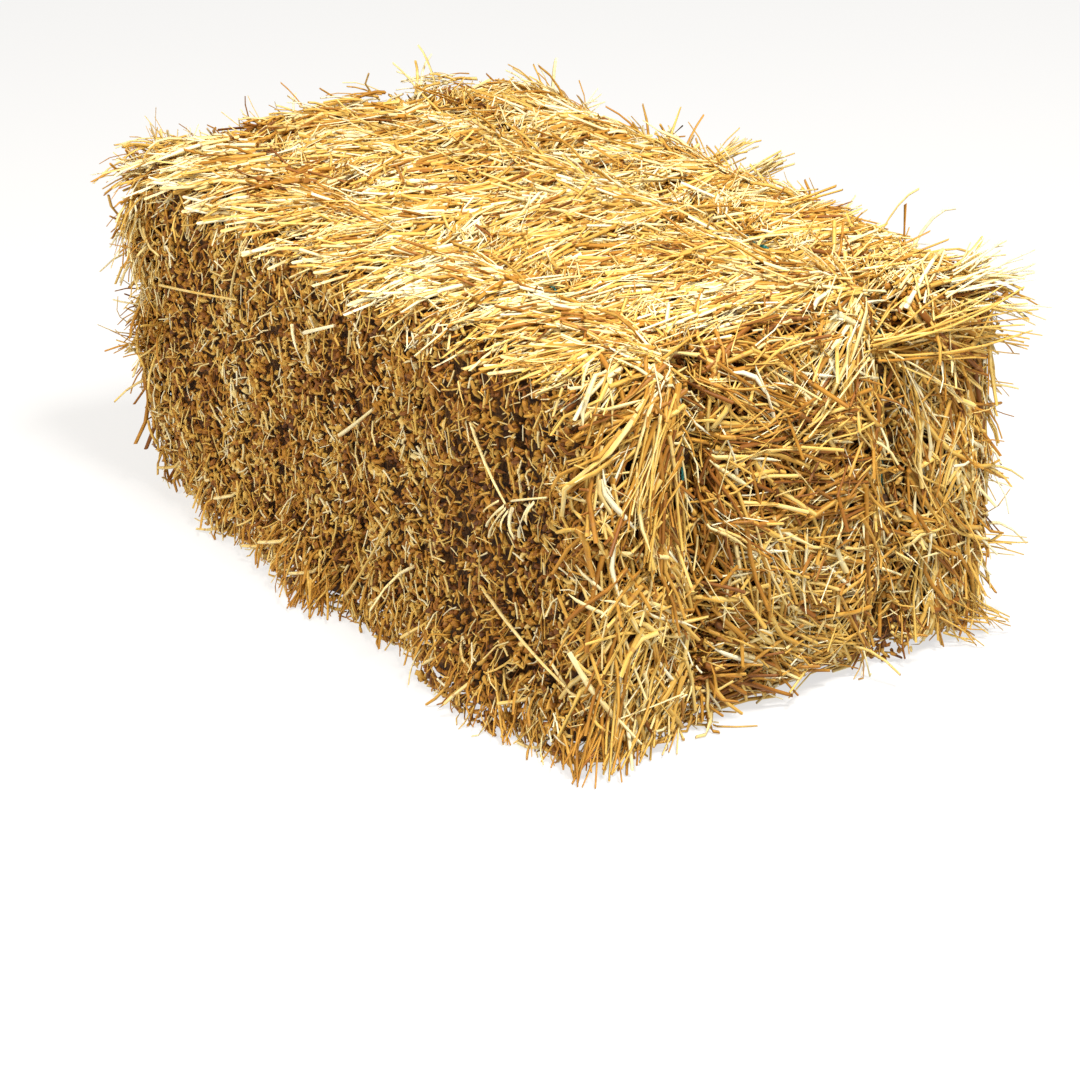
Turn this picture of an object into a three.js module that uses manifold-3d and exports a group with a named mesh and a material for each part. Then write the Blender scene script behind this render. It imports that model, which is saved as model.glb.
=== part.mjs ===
// A small two-string straw bale, in millimetres, +Z up, lying on its flat underside.
// X runs across the bale, from the cut side (-X) to the folded side (+X), and Y along it.
// The origin is the middle of the underside of the room that the bale takes, stray stems included.
//
// A baler presses straw into its chamber one stroke at a time, so a bale is a row of
// separate wads, called flakes. The baler's knife shears one side flat, and the stems fold
// over on the other. Two loops of twine run lengthwise round the row and bite into its ends.

import * as THREE from "three";
import { mergeVertices } from "three/addons/utils/BufferGeometryUtils.js";
import Module from "manifold-3d";

const wasm = await Module();
wasm.setup();

const { degToRad, lerp, mapLinear, smoothstep } = THREE.MathUtils;

// The bale
const BALE_WIDTH = 457; // the baler's chamber is 18 inches wide
const BALE_HEIGHT = 346; // at the edges, from which the top swells past the chamber's 14 inches
const BALE_LENGTH = 800;
const STRAY_SIDE = 32; // how far the longest stray stems stand out of the plain box, sideways
const STRAY_TOP = 66; // and upwards
const FLAKE_COUNT = 14;
const FLAKE_SPREAD = 0.15; // how much thicker or thinner than the average a flake may be
const FLAKE_GAP = 0.6;
const SMALLEST_DETAIL = 0.15; // facets finer than this are merged

// What pressing leaves of the plain box
const CUT_CORNER = 14; // radius of the edges at the cut side
const FOLD_CORNER = 28; // radius of the edges where the stems fold over
const CROWN = 18; // how far the top swells in the middle
const FOLD_CROWN = [8, 20]; // and how much more over the folded side, at the near and the far end
const FOLD_BULGE = 5; // how far the folded side swells at mid-height
const END_BULGE = 10; // how far the two ends swell
const RIM_DROP = 6; // how far a flake's rims lie below its middle
const FLAKE_SHIFT = 4; // how far one flake may stand out past the next
const RUFFLE = 3; // unevenness of the outer faces
const LUMP_RISE = 5; // how much higher the last flakes stand towards the folded side
const LUMP_FLAKES = 2;
const LUMP_ACROSS = [50, 110]; // where across the bale that rise begins and is complete
const END_MIDDLE = 0.74; // where an end flake has its middle points, as a share from its outer face
const ROWS = [0, 0.34, 0.67, 1]; // heights of the points up a flake, between its rounded edges

// The twine
const TWINE_ACROSS = { twine_cut_side: -114, twine_folded_side: 104 };
const TWINE_RADIUS = 1.8;
const TWINE_ABOVE_TOP = 2; // height of a loop's upper run above the plain top
const TWINE_ABOVE_GROUND = 5;
const TWINE_IN_END = 9; // how deep a loop bites into the plain ends
const TWINE_BEND = 52; // radius of the loop where it turns round an edge
const TWINE_SEAT = 3.1; // from the loop's centre line down to the straw
const TWINE_ROOM = 0.5; // how far stems stay away from it
const TWINE_SIDES = 6;
const TWINE_BEND_STEPS = 6;
const FURROW_HALF = 24; // half the width of the furrow that a loop presses
const FURROW_FLOOR = 7; // half the width of its floor
const KNOT_RADIUS = 4.5;
const KNOT_ALONG = -210; // where on the upper run the knot is
const KNOT_TAIL = 30;

// Stems, in wisps thick enough to show from a step away
const STEM_SIDES = 3;
const STEM_RADIUS = 3.4;
const STEM_TAPER = 0.75;
const TOP_STEMS = 5; // on each flake
const TOP_LAY = degToRad(26); // how far stems on the top turn from X towards Y
const TOP_SPREAD = degToRad(28);
const CUT_STEMS = 3;
const CUT_STUB = 24; // length of the stubs on the cut side
const CUT_BACK = 12; // how much of a stub is inside the flake
const FOLD_STEMS = 3;
const FOLD_SPREAD = degToRad(26);
const END_STEMS = 34; // on each end of the bale
const END_STEEP = [degToRad(40), degToRad(88)]; // slope of stems outside the two furrows
const END_SHALLOW = [degToRad(-38), degToRad(38)]; // and between them
const LYING_LENGTH = [70, 130];
const LYING_RISE = [0.05, 0.16]; // how steeply a lying stem comes out of its face
const LYING_PROUD = 2; // and how far its middle stands out of it

const HALF_WIDTH = BALE_WIDTH / 2;
const HALF_LENGTH = BALE_LENGTH / 2;
const TINY = 0.01;

// Single stems that stand far out: where they leave the bale, and where their tips are
const STRAYS = [
  [[-216, 388, 160], [-272, 404, 160]],
  [[-216, 388, 122], [-270, 396, 106]],
  [[-216, -140, 96], [-275, -124, 60]],
  [[-20, 388, 362], [-46, 404, 404]],
  [[128, 380, 372], [121, 402, 418]],
  [[214, 288, 366], [226, 296, 404]],
  [[196, 40, 350], [238, 52, 394]],
  [[204, -262, 352], [232, -286, 400]],
  [[206, -306, 350], [248, -318, 386]],
  [[214, -388, 338], [290, -402, 310]],
  [[216, -390, 162], [264, -402, 144]],
  [[216, -388, 102], [270, -402, 78]],
  [[222, 150, 190], [290, 162, 172]],
  [[60, -392, 30], [84, -448, 14]],
  [[-180, -390, 40], [-206, -440, 8]],
  [[-60, 384, 326], [-96, 446, 352]],
  [[150, 384, 120], [128, 446, 96]],
];

const STRAW_COLOUR = 0xd2a855;
const TWINE_COLOUR = 0x1f8a83;

// Repeatable random numbers from 0 to 1
let seed = 20;
function random() {
  seed = (seed + 0x6d2b79f5) | 0;
  let t = Math.imul(seed ^ (seed >>> 15), 1 | seed);
  t = (t + Math.imul(t ^ (t >>> 7), 61 | t)) ^ t;
  return ((t ^ (t >>> 14)) >>> 0) / 2 ** 32;
}

function between([low, high]) {
  return lerp(low, high, random());
}

// Numbers spread evenly over a range, each moved a little within its own share of it
function spread(count, [low, high]) {
  return Array.from({ length: count }, (_, i) => lerp(low, high, (i + random()) / count));
}

function vector(x, y, z) {
  return new THREE.Vector3(x, y, z);
}

function solidOf(geometry) {
  const bare = geometry.clone();
  bare.deleteAttribute("normal");
  bare.deleteAttribute("uv");
  const merged = mergeVertices(bare, 1e-3);
  return new wasm.Manifold(
    new wasm.Mesh({
      numProp: 3,
      vertProperties: new Float32Array(merged.attributes.position.array),
      triVerts: new Uint32Array(merged.index.array),
    }),
  );
}

function joined(solids) {
  return solids.reduce((whole, solid) => whole.add(solid));
}

// The largest of a solid's separate bodies, without the crumbs that a cut has freed
function largestBody(solid) {
  return solid.decompose().reduce((a, b) => (a.volume() > b.volume() ? a : b));
}

function meshOf(name, solid, material) {
  const made = solid.simplify(SMALLEST_DETAIL).getMesh();
  const geometry = new THREE.BufferGeometry()
    .setAttribute("position", new THREE.BufferAttribute(made.vertProperties, 3))
    .setIndex(new THREE.BufferAttribute(made.triVerts, 1));
  geometry.computeVertexNormals();
  const mesh = new THREE.Mesh(geometry, material);
  mesh.name = name;
  return mesh;
}

// A slim prism from one point towards another
function rod(root, tip, radius, sides) {
  const way = tip.clone().sub(root);
  const shaft = new THREE.CylinderGeometry(radius * STEM_TAPER, radius, way.length(), sides);
  shaft.rotateY(between([0, Math.PI])).translate(0, way.length() / 2, 0);
  const turn = new THREE.Quaternion().setFromUnitVectors(vector(0, 1, 0), way.normalize());
  return solidOf(shaft.applyQuaternion(turn).translate(root.x, root.y, root.z));
}

// The nearest place to a point on a box whose edges have a radius
function rounded(point, low, high, radius) {
  const held = point.clone().clamp(low, high);
  const core = held.clone().clamp(low.clone().addScalar(radius), high.clone().subScalar(radius));
  return held.sub(core).clampLength(0, radius).add(core);
}

// The twine

// The upright box that a loop runs round, or one that lies further in
function loopBox(inset) {
  const low = vector(-Infinity, TWINE_IN_END - HALF_LENGTH + inset, TWINE_ABOVE_GROUND + inset);
  const high = vector(Infinity, -low.y, BALE_HEIGHT + TWINE_ABOVE_TOP - inset);
  return { low, high, radius: TWINE_BEND - inset };
}

// The points of a loop's centre line, in order
function loopLine(across) {
  const { low, high, radius } = loopBox(0);
  const turns = [
    [high.y - radius, low.z + radius],
    [high.y - radius, high.z - radius],
    [low.y + radius, high.z - radius],
    [low.y + radius, low.z + radius],
  ];
  return turns.flatMap(([y, z], turn) =>
    Array.from({ length: TWINE_BEND_STEPS + 1 }, (_, step) => {
      const angle = (turn - 1 + step / TWINE_BEND_STEPS) * (Math.PI / 2);
      return vector(across, y + radius * Math.cos(angle), z + radius * Math.sin(angle));
    }),
  );
}

// A closed tube round that line
function loopTube(across, radius) {
  const line = loopLine(across);
  const positions = [];
  const index = [];
  line.forEach((point, i) => {
    const next = (i + 1) % line.length;
    const side = vector(1, 0, 0);
    const out = line[next].clone().sub(line.at(i - 1)).normalize().cross(side);
    for (let j = 0; j < TWINE_SIDES; j++) {
      const angle = (j / TWINE_SIDES) * 2 * Math.PI;
      const rim = point.clone().addScaledVector(side, radius * Math.cos(angle));
      positions.push(...rim.addScaledVector(out, radius * Math.sin(angle)).toArray());
      const after = (j + 1) % TWINE_SIDES;
      const [a, b] = [i * TWINE_SIDES + j, i * TWINE_SIDES + after];
      const [c, d] = [next * TWINE_SIDES + j, next * TWINE_SIDES + after];
      index.push(a, b, d, a, d, c);
    }
  });
  return new THREE.BufferGeometry()
    .setAttribute("position", new THREE.Float32BufferAttribute(positions, 3))
    .setIndex(index);
}

// One loop and its knot, from which the two cut tails lie along the furrow
function twine(across, grown = 0) {
  const radius = TWINE_RADIUS + grown;
  const knotAt = vector(across, KNOT_ALONG, loopBox(0).high.z + KNOT_RADIUS - TWINE_RADIUS);
  const knot = new THREE.IcosahedronGeometry(KNOT_RADIUS + grown, 1).translate(...knotAt.toArray());
  const tails = [-1, 1].map((way) => {
    const tip = vector(0.2 * way, way, 0.15).setLength(KNOT_TAIL + grown).add(knotAt);
    return rod(knotAt, tip, radius, TWINE_SIDES);
  });
  return joined([solidOf(loopTube(across, radius)), solidOf(knot), ...tails]);
}

// The flakes

// Where each flake begins and ends, and how it sits among the others
function flakeRow() {
  const shares = Array.from({ length: FLAKE_COUNT }, () => 1 + between([-FLAKE_SPREAD, FLAKE_SPREAD]));
  const whole = shares.reduce((a, b) => a + b);
  let near = -HALF_LENGTH;
  return shares.map((share, i) => {
    const far = near + (share / whole) * BALE_LENGTH;
    const first = i === 0;
    const last = i === FLAKE_COUNT - 1;
    const flake = {
      near: first ? near : near + FLAKE_GAP / 2,
      far: last ? far : far - FLAKE_GAP / 2,
      lift: between([-FLAKE_SHIFT, FLAKE_SHIFT]),
      shift: between([-FLAKE_SHIFT, FLAKE_SHIFT]),
      lump: i < FLAKE_COUNT - LUMP_FLAKES ? 0 : LUMP_RISE,
      end: Number(last) - Number(first),
    };
    const middleShare = flake.end === 0 ? 0.5 : first ? END_MIDDLE : 1 - END_MIDDLE;
    flake.middle = lerp(flake.near, flake.far, middleShare);
    near = far;
    return flake;
  });
}

function crown(x, flake) {
  const across = x / HALF_WIDTH;
  const foldCrown = mapLinear(flake.middle, -HALF_LENGTH, HALF_LENGTH, ...FOLD_CROWN);
  const swell = CROWN * (1 - across * across) + foldCrown * Math.max(0, across);
  return flake.lift + swell + flake.lump * smoothstep(x, ...LUMP_ACROSS);
}

function foldBulge(z, flake) {
  return flake.shift + FOLD_BULGE * Math.sin((Math.PI * z) / BALE_HEIGHT);
}

function endBulge(x, z) {
  return END_BULGE * Math.sin((Math.PI * z) / BALE_HEIGHT) * (1 - (x / HALF_WIDTH) ** 4);
}

// Lays a point on the floor of a furrow, under the twine
function furrowed(point, atEnd, onTop) {
  const { low, high, radius } = loopBox(TWINE_SEAT);
  if (atEnd) return rounded(point, low, high, radius);
  const past = Math.max(0, Math.abs(point.y) - high.y + radius);
  const drop = radius - Math.sqrt(radius ** 2 - past ** 2);
  return point.setZ(onTop ? high.z - drop : low.z + drop);
}

// Moves a point of a flake's plain box to where pressing leaves it
function pressed(point, flake) {
  const atEnd = Math.abs(point.y) > HALF_LENGTH - TINY;
  const onTop = point.z > BALE_HEIGHT - TINY;
  const onGround = point.z < TINY;
  const onCut = point.x < TINY - HALF_WIDTH;
  const onFold = point.x > HALF_WIDTH - TINY;
  if (!(atEnd || onTop || onGround || onCut || onFold)) return point;
  const byTwine = Object.values(TWINE_ACROSS).some((x) => Math.abs(point.x - x) < FURROW_FLOOR + TINY);
  if (byTwine) return furrowed(point, atEnd, onTop);

  const low = vector(-HALF_WIDTH, -HALF_LENGTH, 0);
  const high = vector(HALF_WIDTH, HALF_LENGTH, BALE_HEIGHT);
  const radius = mapLinear(point.x, -HALF_WIDTH, HALF_WIDTH, CUT_CORNER, FOLD_CORNER);
  const moved = rounded(point, low, high, radius);
  const sunk = atEnd || point.y === flake.middle ? 0 : RIM_DROP;
  const rough = () => between([-RUFFLE, RUFFLE]) - sunk;
  if (onTop) moved.z += crown(point.x, flake) + rough();
  if (onCut) moved.x -= flake.shift + rough();
  if (onFold) moved.x += foldBulge(point.z, flake) + rough();
  if (atEnd) moved.y += flake.end * (endBulge(point.x, point.z) + rough());
  return moved;
}

// The pressed wad of one flake, from a box with columns of points across it and rows up it
function wad(flake) {
  const steps = [-FURROW_HALF, -FURROW_FLOOR, FURROW_FLOOR, FURROW_HALF];
  const furrows = Object.values(TWINE_ACROSS).flatMap((x) => steps.map((step) => x + step));
  const sides = [-HALF_WIDTH, CUT_CORNER - HALF_WIDTH, HALF_WIDTH - FOLD_CORNER, HALF_WIDTH];
  const columns = [...sides, ...furrows, 0].sort((a, b) => a - b);
  const layers = [flake.near, flake.middle, flake.far];
  const inner = ROWS.map((share) => lerp(FOLD_CORNER, BALE_HEIGHT - FOLD_CORNER, share));
  const rows = [0, ...inner, BALE_HEIGHT];

  const size = [columns.length - 1, layers.length - 1, rows.length - 1];
  const box = new THREE.BoxGeometry(...size, ...size);
  const position = box.attributes.position;
  const moved = new Map();
  for (let i = 0; i < position.count; i++) {
    const at = [position.getX(i), position.getY(i), position.getZ(i)];
    const [column, layer, row] = at.map((value, axis) => Math.round(value + size[axis] / 2));
    const key = [column, layer, row].join();
    const point = vector(columns[column], layers[layer], rows[row]);
    if (!moved.has(key)) moved.set(key, pressed(point, flake));
    position.setXYZ(i, ...moved.get(key).toArray());
  }
  return solidOf(box);
}

// A stem that lies on a face and rises out of it towards its tip
function lying(middle, heading, outward) {
  const way = heading.addScaledVector(outward, between(LYING_RISE));
  way.setLength(between(LYING_LENGTH) / 2);
  middle.addScaledVector(outward, LYING_PROUD);
  return rod(middle.clone().sub(way), middle.clone().add(way), STEM_RADIUS, STEM_SIDES);
}

function eitherWay() {
  return random() < 0.5 ? -1 : 1;
}

function topStems(flake) {
  return spread(TOP_STEMS, [-HALF_WIDTH, HALF_WIDTH]).map((x) => {
    const turn = TOP_LAY + between([-TOP_SPREAD, TOP_SPREAD]);
    const heading = vector(Math.cos(turn), Math.sin(turn), 0).multiplyScalar(eitherWay());
    const middle = vector(x, between([flake.near, flake.far]), BALE_HEIGHT + crown(x, flake));
    return lying(middle, heading, vector(0, 0, 1));
  });
}

function cutStubs(flake) {
  return spread(CUT_STEMS, [FOLD_CORNER, BALE_HEIGHT]).map((z) => {
    const root = vector(CUT_BACK - HALF_WIDTH, between([flake.near, flake.far]), z);
    const way = vector(-1, between([-0.5, 0.5]), between([-0.5, 0.3]));
    return rod(root, way.setLength(CUT_STUB).add(root), STEM_RADIUS, STEM_SIDES);
  });
}

function foldStems(flake) {
  return spread(FOLD_STEMS, [FOLD_CORNER, BALE_HEIGHT - FOLD_CORNER]).map((z) => {
    const turn = between([-FOLD_SPREAD, FOLD_SPREAD]);
    const heading = vector(0, Math.sin(turn), Math.cos(turn)).multiplyScalar(eitherWay());
    const middle = vector(HALF_WIDTH + foldBulge(z, flake), between([flake.near, flake.far]), z);
    return lying(middle, heading, vector(1, 0, 0));
  });
}

function endStems(flake) {
  if (flake.end === 0) return [];
  const [cutTwine, foldTwine] = Object.values(TWINE_ACROSS);
  return spread(END_STEMS, [-HALF_WIDTH, HALF_WIDTH]).map((x) => {
    const z = between([FOLD_CORNER, BALE_HEIGHT - CUT_CORNER]);
    const outside = x < cutTwine || x > foldTwine;
    const turn = between(outside ? END_STEEP : END_SHALLOW) * eitherWay();
    const heading = vector(Math.cos(turn), 0, Math.sin(turn)).multiplyScalar(eitherWay());
    const middle = vector(x, flake.end * (HALF_LENGTH + endBulge(x, z)), z);
    return lying(middle, heading, vector(0, flake.end, 0));
  });
}

function strays(flake) {
  return STRAYS.filter(([[, y]]) => y > flake.near && y < flake.far).map(([root, tip]) =>
    rod(vector(...root), vector(...tip), STEM_RADIUS, STEM_SIDES),
  );
}

// The room that a flake and its stems may take, between the flakes next to it
function flakeRoom(flake) {
  const low = vector(-HALF_WIDTH - STRAY_SIDE, flake.near - (flake.end < 0 ? STRAY_SIDE : 0), 0);
  const high = vector(HALF_WIDTH + STRAY_SIDE, flake.far, BALE_HEIGHT + STRAY_TOP);
  if (flake.end > 0) high.y += STRAY_SIDE;
  const size = high.clone().sub(low);
  const middle = high.clone().add(low).multiplyScalar(0.5);
  return solidOf(new THREE.BoxGeometry(...size.toArray()).translate(...middle.toArray()));
}

const bale = new THREE.Group();
const twineNames = Object.keys(TWINE_ACROSS);
const twineRoom = joined(twineNames.map((name) => twine(TWINE_ACROSS[name], TWINE_ROOM)));

flakeRow().forEach((flake, i) => {
  const makers = [topStems, cutStubs, foldStems, endStems, strays];
  const stems = joined(makers.flatMap((make) => make(flake)));
  const free = stems.intersect(flakeRoom(flake)).subtract(twineRoom);
  const name = `flake_${String(i + 1).padStart(2, "0")}`;
  const straw = new THREE.MeshStandardMaterial({ color: STRAW_COLOUR, roughness: 0.75 });
  bale.add(meshOf(name, largestBody(wad(flake).add(free)), straw));
});

for (const name of twineNames) {
  const cord = new THREE.MeshStandardMaterial({ color: TWINE_COLOUR, roughness: 0.55 });
  bale.add(meshOf(name, twine(TWINE_ACROSS[name]), cord));
}

export default bale;
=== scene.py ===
# %% [markdown]
# # A square straw bale, stem by stem
#
# The real object is a small two-string bale. The ram of a baler presses straw into wads, called
# flakes. A knife shears every flake on one side, the chamber folds it over on the other, and two
# loops of twine hold fourteen flakes together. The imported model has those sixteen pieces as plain
# solids at their real size. This script gives each of them its look and leaves it in its place.

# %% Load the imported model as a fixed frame
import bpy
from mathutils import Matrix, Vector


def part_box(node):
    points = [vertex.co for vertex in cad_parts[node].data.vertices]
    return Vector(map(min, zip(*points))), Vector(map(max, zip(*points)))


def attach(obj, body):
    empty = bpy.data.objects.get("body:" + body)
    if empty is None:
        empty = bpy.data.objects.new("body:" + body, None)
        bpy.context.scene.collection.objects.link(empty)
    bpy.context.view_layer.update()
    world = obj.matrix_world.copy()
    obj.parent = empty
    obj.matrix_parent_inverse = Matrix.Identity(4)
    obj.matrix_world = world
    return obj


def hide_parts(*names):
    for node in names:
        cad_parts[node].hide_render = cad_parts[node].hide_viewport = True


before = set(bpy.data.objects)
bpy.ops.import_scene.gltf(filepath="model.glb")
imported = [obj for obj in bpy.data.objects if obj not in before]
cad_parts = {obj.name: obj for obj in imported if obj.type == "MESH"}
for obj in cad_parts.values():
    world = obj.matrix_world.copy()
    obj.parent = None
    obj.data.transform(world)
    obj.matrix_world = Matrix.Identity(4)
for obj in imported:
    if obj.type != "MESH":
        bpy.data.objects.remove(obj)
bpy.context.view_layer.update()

FLAKES = sorted(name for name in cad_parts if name.startswith("flake"))

# %% [markdown]
# ## The camera
#
# The viewpoint comes from the bale's own corners: the box of 457 by 800 by 351 mm falls on all seven
# visible corners from here. The lens is long, so the bale's far end is hardly smaller than the near
# one. X runs from the sheared side to the folded side, Y from the near end to the far end.

# %% Camera
import math
from types import SimpleNamespace

import bmesh
import bpy
import numpy as np
from mathutils import Matrix, Vector

MM = 0.001
CAMERA_AZIMUTH = math.radians(-32.9)
CAMERA_ELEVATION = math.radians(23.6)
CAMERA_ROLL = math.radians(-1.98)
CAMERA_DISTANCE = 3.086
CAMERA_AIM = Vector((-0.007, 0.0, 0.016))
CAMERA_LENS = 103.7
FILM_WIDTH = 36.0


def linked(name, data):
    """A new object in the scene."""
    made = bpy.data.objects.new(name, data)
    bpy.context.scene.collection.objects.link(made)
    return made


def direction(azimuth, elevation):
    """From the bale towards a thing at that azimuth and elevation. Azimuth 0 is in front, at -Y."""
    level = math.cos(elevation)
    return Vector((math.sin(azimuth) * level, -math.cos(azimuth) * level, math.sin(elevation)))


def turned_to(back, roll=0.0):
    """The rotation of a camera or light that looks against back."""
    return back.to_track_quat("Z", "Y").to_matrix() @ Matrix.Rotation(roll, 3, "Z")


camera = linked("camera", bpy.data.cameras.new("camera"))
camera.data.lens = CAMERA_LENS
camera.data.sensor_width = FILM_WIDTH
camera_back = direction(CAMERA_AZIMUTH, CAMERA_ELEVATION)
camera.matrix_world = turned_to(camera_back, CAMERA_ROLL).to_4x4()
camera.location = CAMERA_AIM + camera_back * CAMERA_DISTANCE
bpy.context.scene.camera = camera
print("camera at", [round(n, 3) for n in camera.location])

# %% [markdown]
# ## Light and floor
#
# Straw is all gaps, so the light decides how it reads. One light stands high in front of the near
# end: it leaves the top brightest, the near end golden, and grazes the sheared side, where every
# stub that stands out catches it. A weaker light on the left opens up that side's shade. The sky is
# dim, so that the gaps stay dark. The floor is a light table: it glows a little by itself, which
# keeps it pale and even up to the horizon and takes the weight out of the bale's shadow.

# %% Light and floor
bpy.context.scene.view_settings.view_transform = "Standard"
FLOOR_SIZE = 14.0
FLOOR_BELOW = 0.4 * MM
SKY = {"Color": (1.0, 0.97, 0.92, 1.0), "Strength": 0.45}
LIGHT_DISTANCE = 3.2


def preset(node, values):
    """Sets inputs of a node that nothing feeds."""
    for name, value in values.items():
        node.inputs[name].default_value = value


def soft_light(name, azimuth, elevation, size, power, colour):
    lamp = bpy.data.lights.new(name, "AREA")
    lamp.size = size
    lamp.energy = power
    lamp.color = colour
    holder = linked(name, lamp)
    back = direction(math.radians(azimuth), math.radians(elevation))
    holder.matrix_world = turned_to(back).to_4x4()
    holder.location = back * LIGHT_DISTANCE
    print(name, "at", [round(n, 2) for n in holder.location])


soft_light("key light", azimuth=-4, elevation=61, size=0.7, power=133, colour=(1.0, 0.97, 0.93))
soft_light("fill light", azimuth=-87, elevation=40, size=1.6, power=57, colour=(1.0, 0.87, 0.69))

sky = bpy.data.worlds.new("pale sky")
sky.use_nodes = True
preset(sky.node_tree.nodes["Background"], SKY)
bpy.context.scene.world = sky

bpy.ops.mesh.primitive_plane_add(size=FLOOR_SIZE, location=(0, 0, -FLOOR_BELOW))
floor = bpy.context.object
floor.name = "floor"

# %% [markdown]
# ## Writing node trees as sums
#
# Geometry Nodes and shaders are made of the same things, nodes and links. A small helper lets a tree
# be written like a formula. A Wire is what comes out of a node. Adding two wires adds the maths node
# that does it, and so does each word in the table below: width.at_least(2.0) is a Maximum node. The
# trees stay short enough to read that way.

# %% Wires


class Wire:
    """What comes out of a node."""

    def __init__(self, tree, socket):
        self.tree = tree
        self.socket = socket

    def __rsub__(self, other):
        return self.tree.maths("SUBTRACT", other, self)


MATHS_WORDS = {
    "__add__": "ADD", "__sub__": "SUBTRACT", "__mul__": "MULTIPLY", "__truediv__": "DIVIDE",
    "at_least": "MAXIMUM", "at_most": "MINIMUM", "above": "GREATER_THAN", "below": "LESS_THAN",
    "size": "ABSOLUTE", "sign": "SIGN", "power": "POWER", "exponent": "EXPONENT", "fraction": "FRACT",
    "sine": "SINE", "cosine": "COSINE", "times_plus": "MULTIPLY_ADD", "unit": "NORMALIZE",
    "length": "LENGTH", "dot": "DOT_PRODUCT", "cross": "CROSS_PRODUCT",
}


def maths_word(operation):
    return lambda wire, *others: wire.tree.maths(operation, wire, *others)


for word, operation in MATHS_WORDS.items():
    setattr(Wire, word, maths_word(operation))
print(len(MATHS_WORDS), "words of maths")

# %% Trees


def is_vector(value):
    return value.socket.type == "VECTOR" if isinstance(value, Wire) else np.ndim(value) == 1


def socket_of(sockets, key):
    """The socket at a number, or the first one in use with a name."""
    if isinstance(key, int):
        return sockets[key]
    return next(s for s in sockets if s.enabled and s.name == key)


class Tree:
    """A node tree that is written as calls."""

    def __init__(self, group):
        self.group = group
        self.given = None

    def input(self, name, kind, default=None):
        self.given = self.given or self.group.nodes.new("NodeGroupInput")
        socket = self.group.interface.new_socket(name, in_out="INPUT", socket_type="NodeSocket" + kind)
        if default is not None:
            socket.default_value = default
        return Wire(self, socket_of(self.given.outputs, name))

    def output(self, **wires):
        result = self.group.nodes.new("NodeGroupOutput")
        for name, (kind, wire) in wires.items():
            self.group.interface.new_socket(name, in_out="OUTPUT", socket_type="NodeSocket" + kind)
            self.feed(socket_of(result.inputs, name), wire)
        return self.group

    def feed(self, socket, value):
        if isinstance(value, Wire):
            self.group.links.new(value.socket, socket)
        else:
            socket.default_value = value

    def node(self, kind, feeds=None, **settings):
        node = self.group.nodes.new(kind)
        for name, value in settings.items():
            setattr(node, name, value)
        for key, value in (feeds or {}).items():
            self.feed(socket_of(node.inputs, key), value)
        return node

    def wires(self, kind, outs, feeds=None, **settings):
        node = self.node(kind, feeds, **settings)
        return [Wire(self, socket_of(node.outputs, out)) for out in outs]

    def wire(self, kind, out, feeds=None, **settings):
        return self.wires(kind, [out], feeds, **settings)[0]

    def maths(self, operation, *values):
        vectors = [value for value in values if is_vector(value)]
        if not vectors:
            return self.wire("ShaderNodeMath", "Value", dict(enumerate(values)), operation=operation)
        if operation == "MULTIPLY" and len(vectors) == 1:
            number = next(value for value in values if not is_vector(value))
            feeds = {0: vectors[0], "Scale": number}
            return self.wire("ShaderNodeVectorMath", "Vector", feeds, operation="SCALE")
        out = "Value" if operation in ("DOT_PRODUCT", "LENGTH") else "Vector"
        return self.wire("ShaderNodeVectorMath", out, dict(enumerate(values)), operation=operation)

    def split(self, vector):
        return self.wires("ShaderNodeSeparateXYZ", "XYZ", {0: vector})

    def join(self, x, y, z):
        return self.wire("ShaderNodeCombineXYZ", "Vector", {"X": x, "Y": y, "Z": z})

    def mix(self, a, b, share):
        return a + (b - a) * share

    def noise(self, place, scale, detail):
        feeds = {"Vector": place, "Scale": scale, "Detail": detail}
        return self.wire("ShaderNodeTexNoise", "Fac", feeds)


# %% Trees that make geometry


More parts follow.
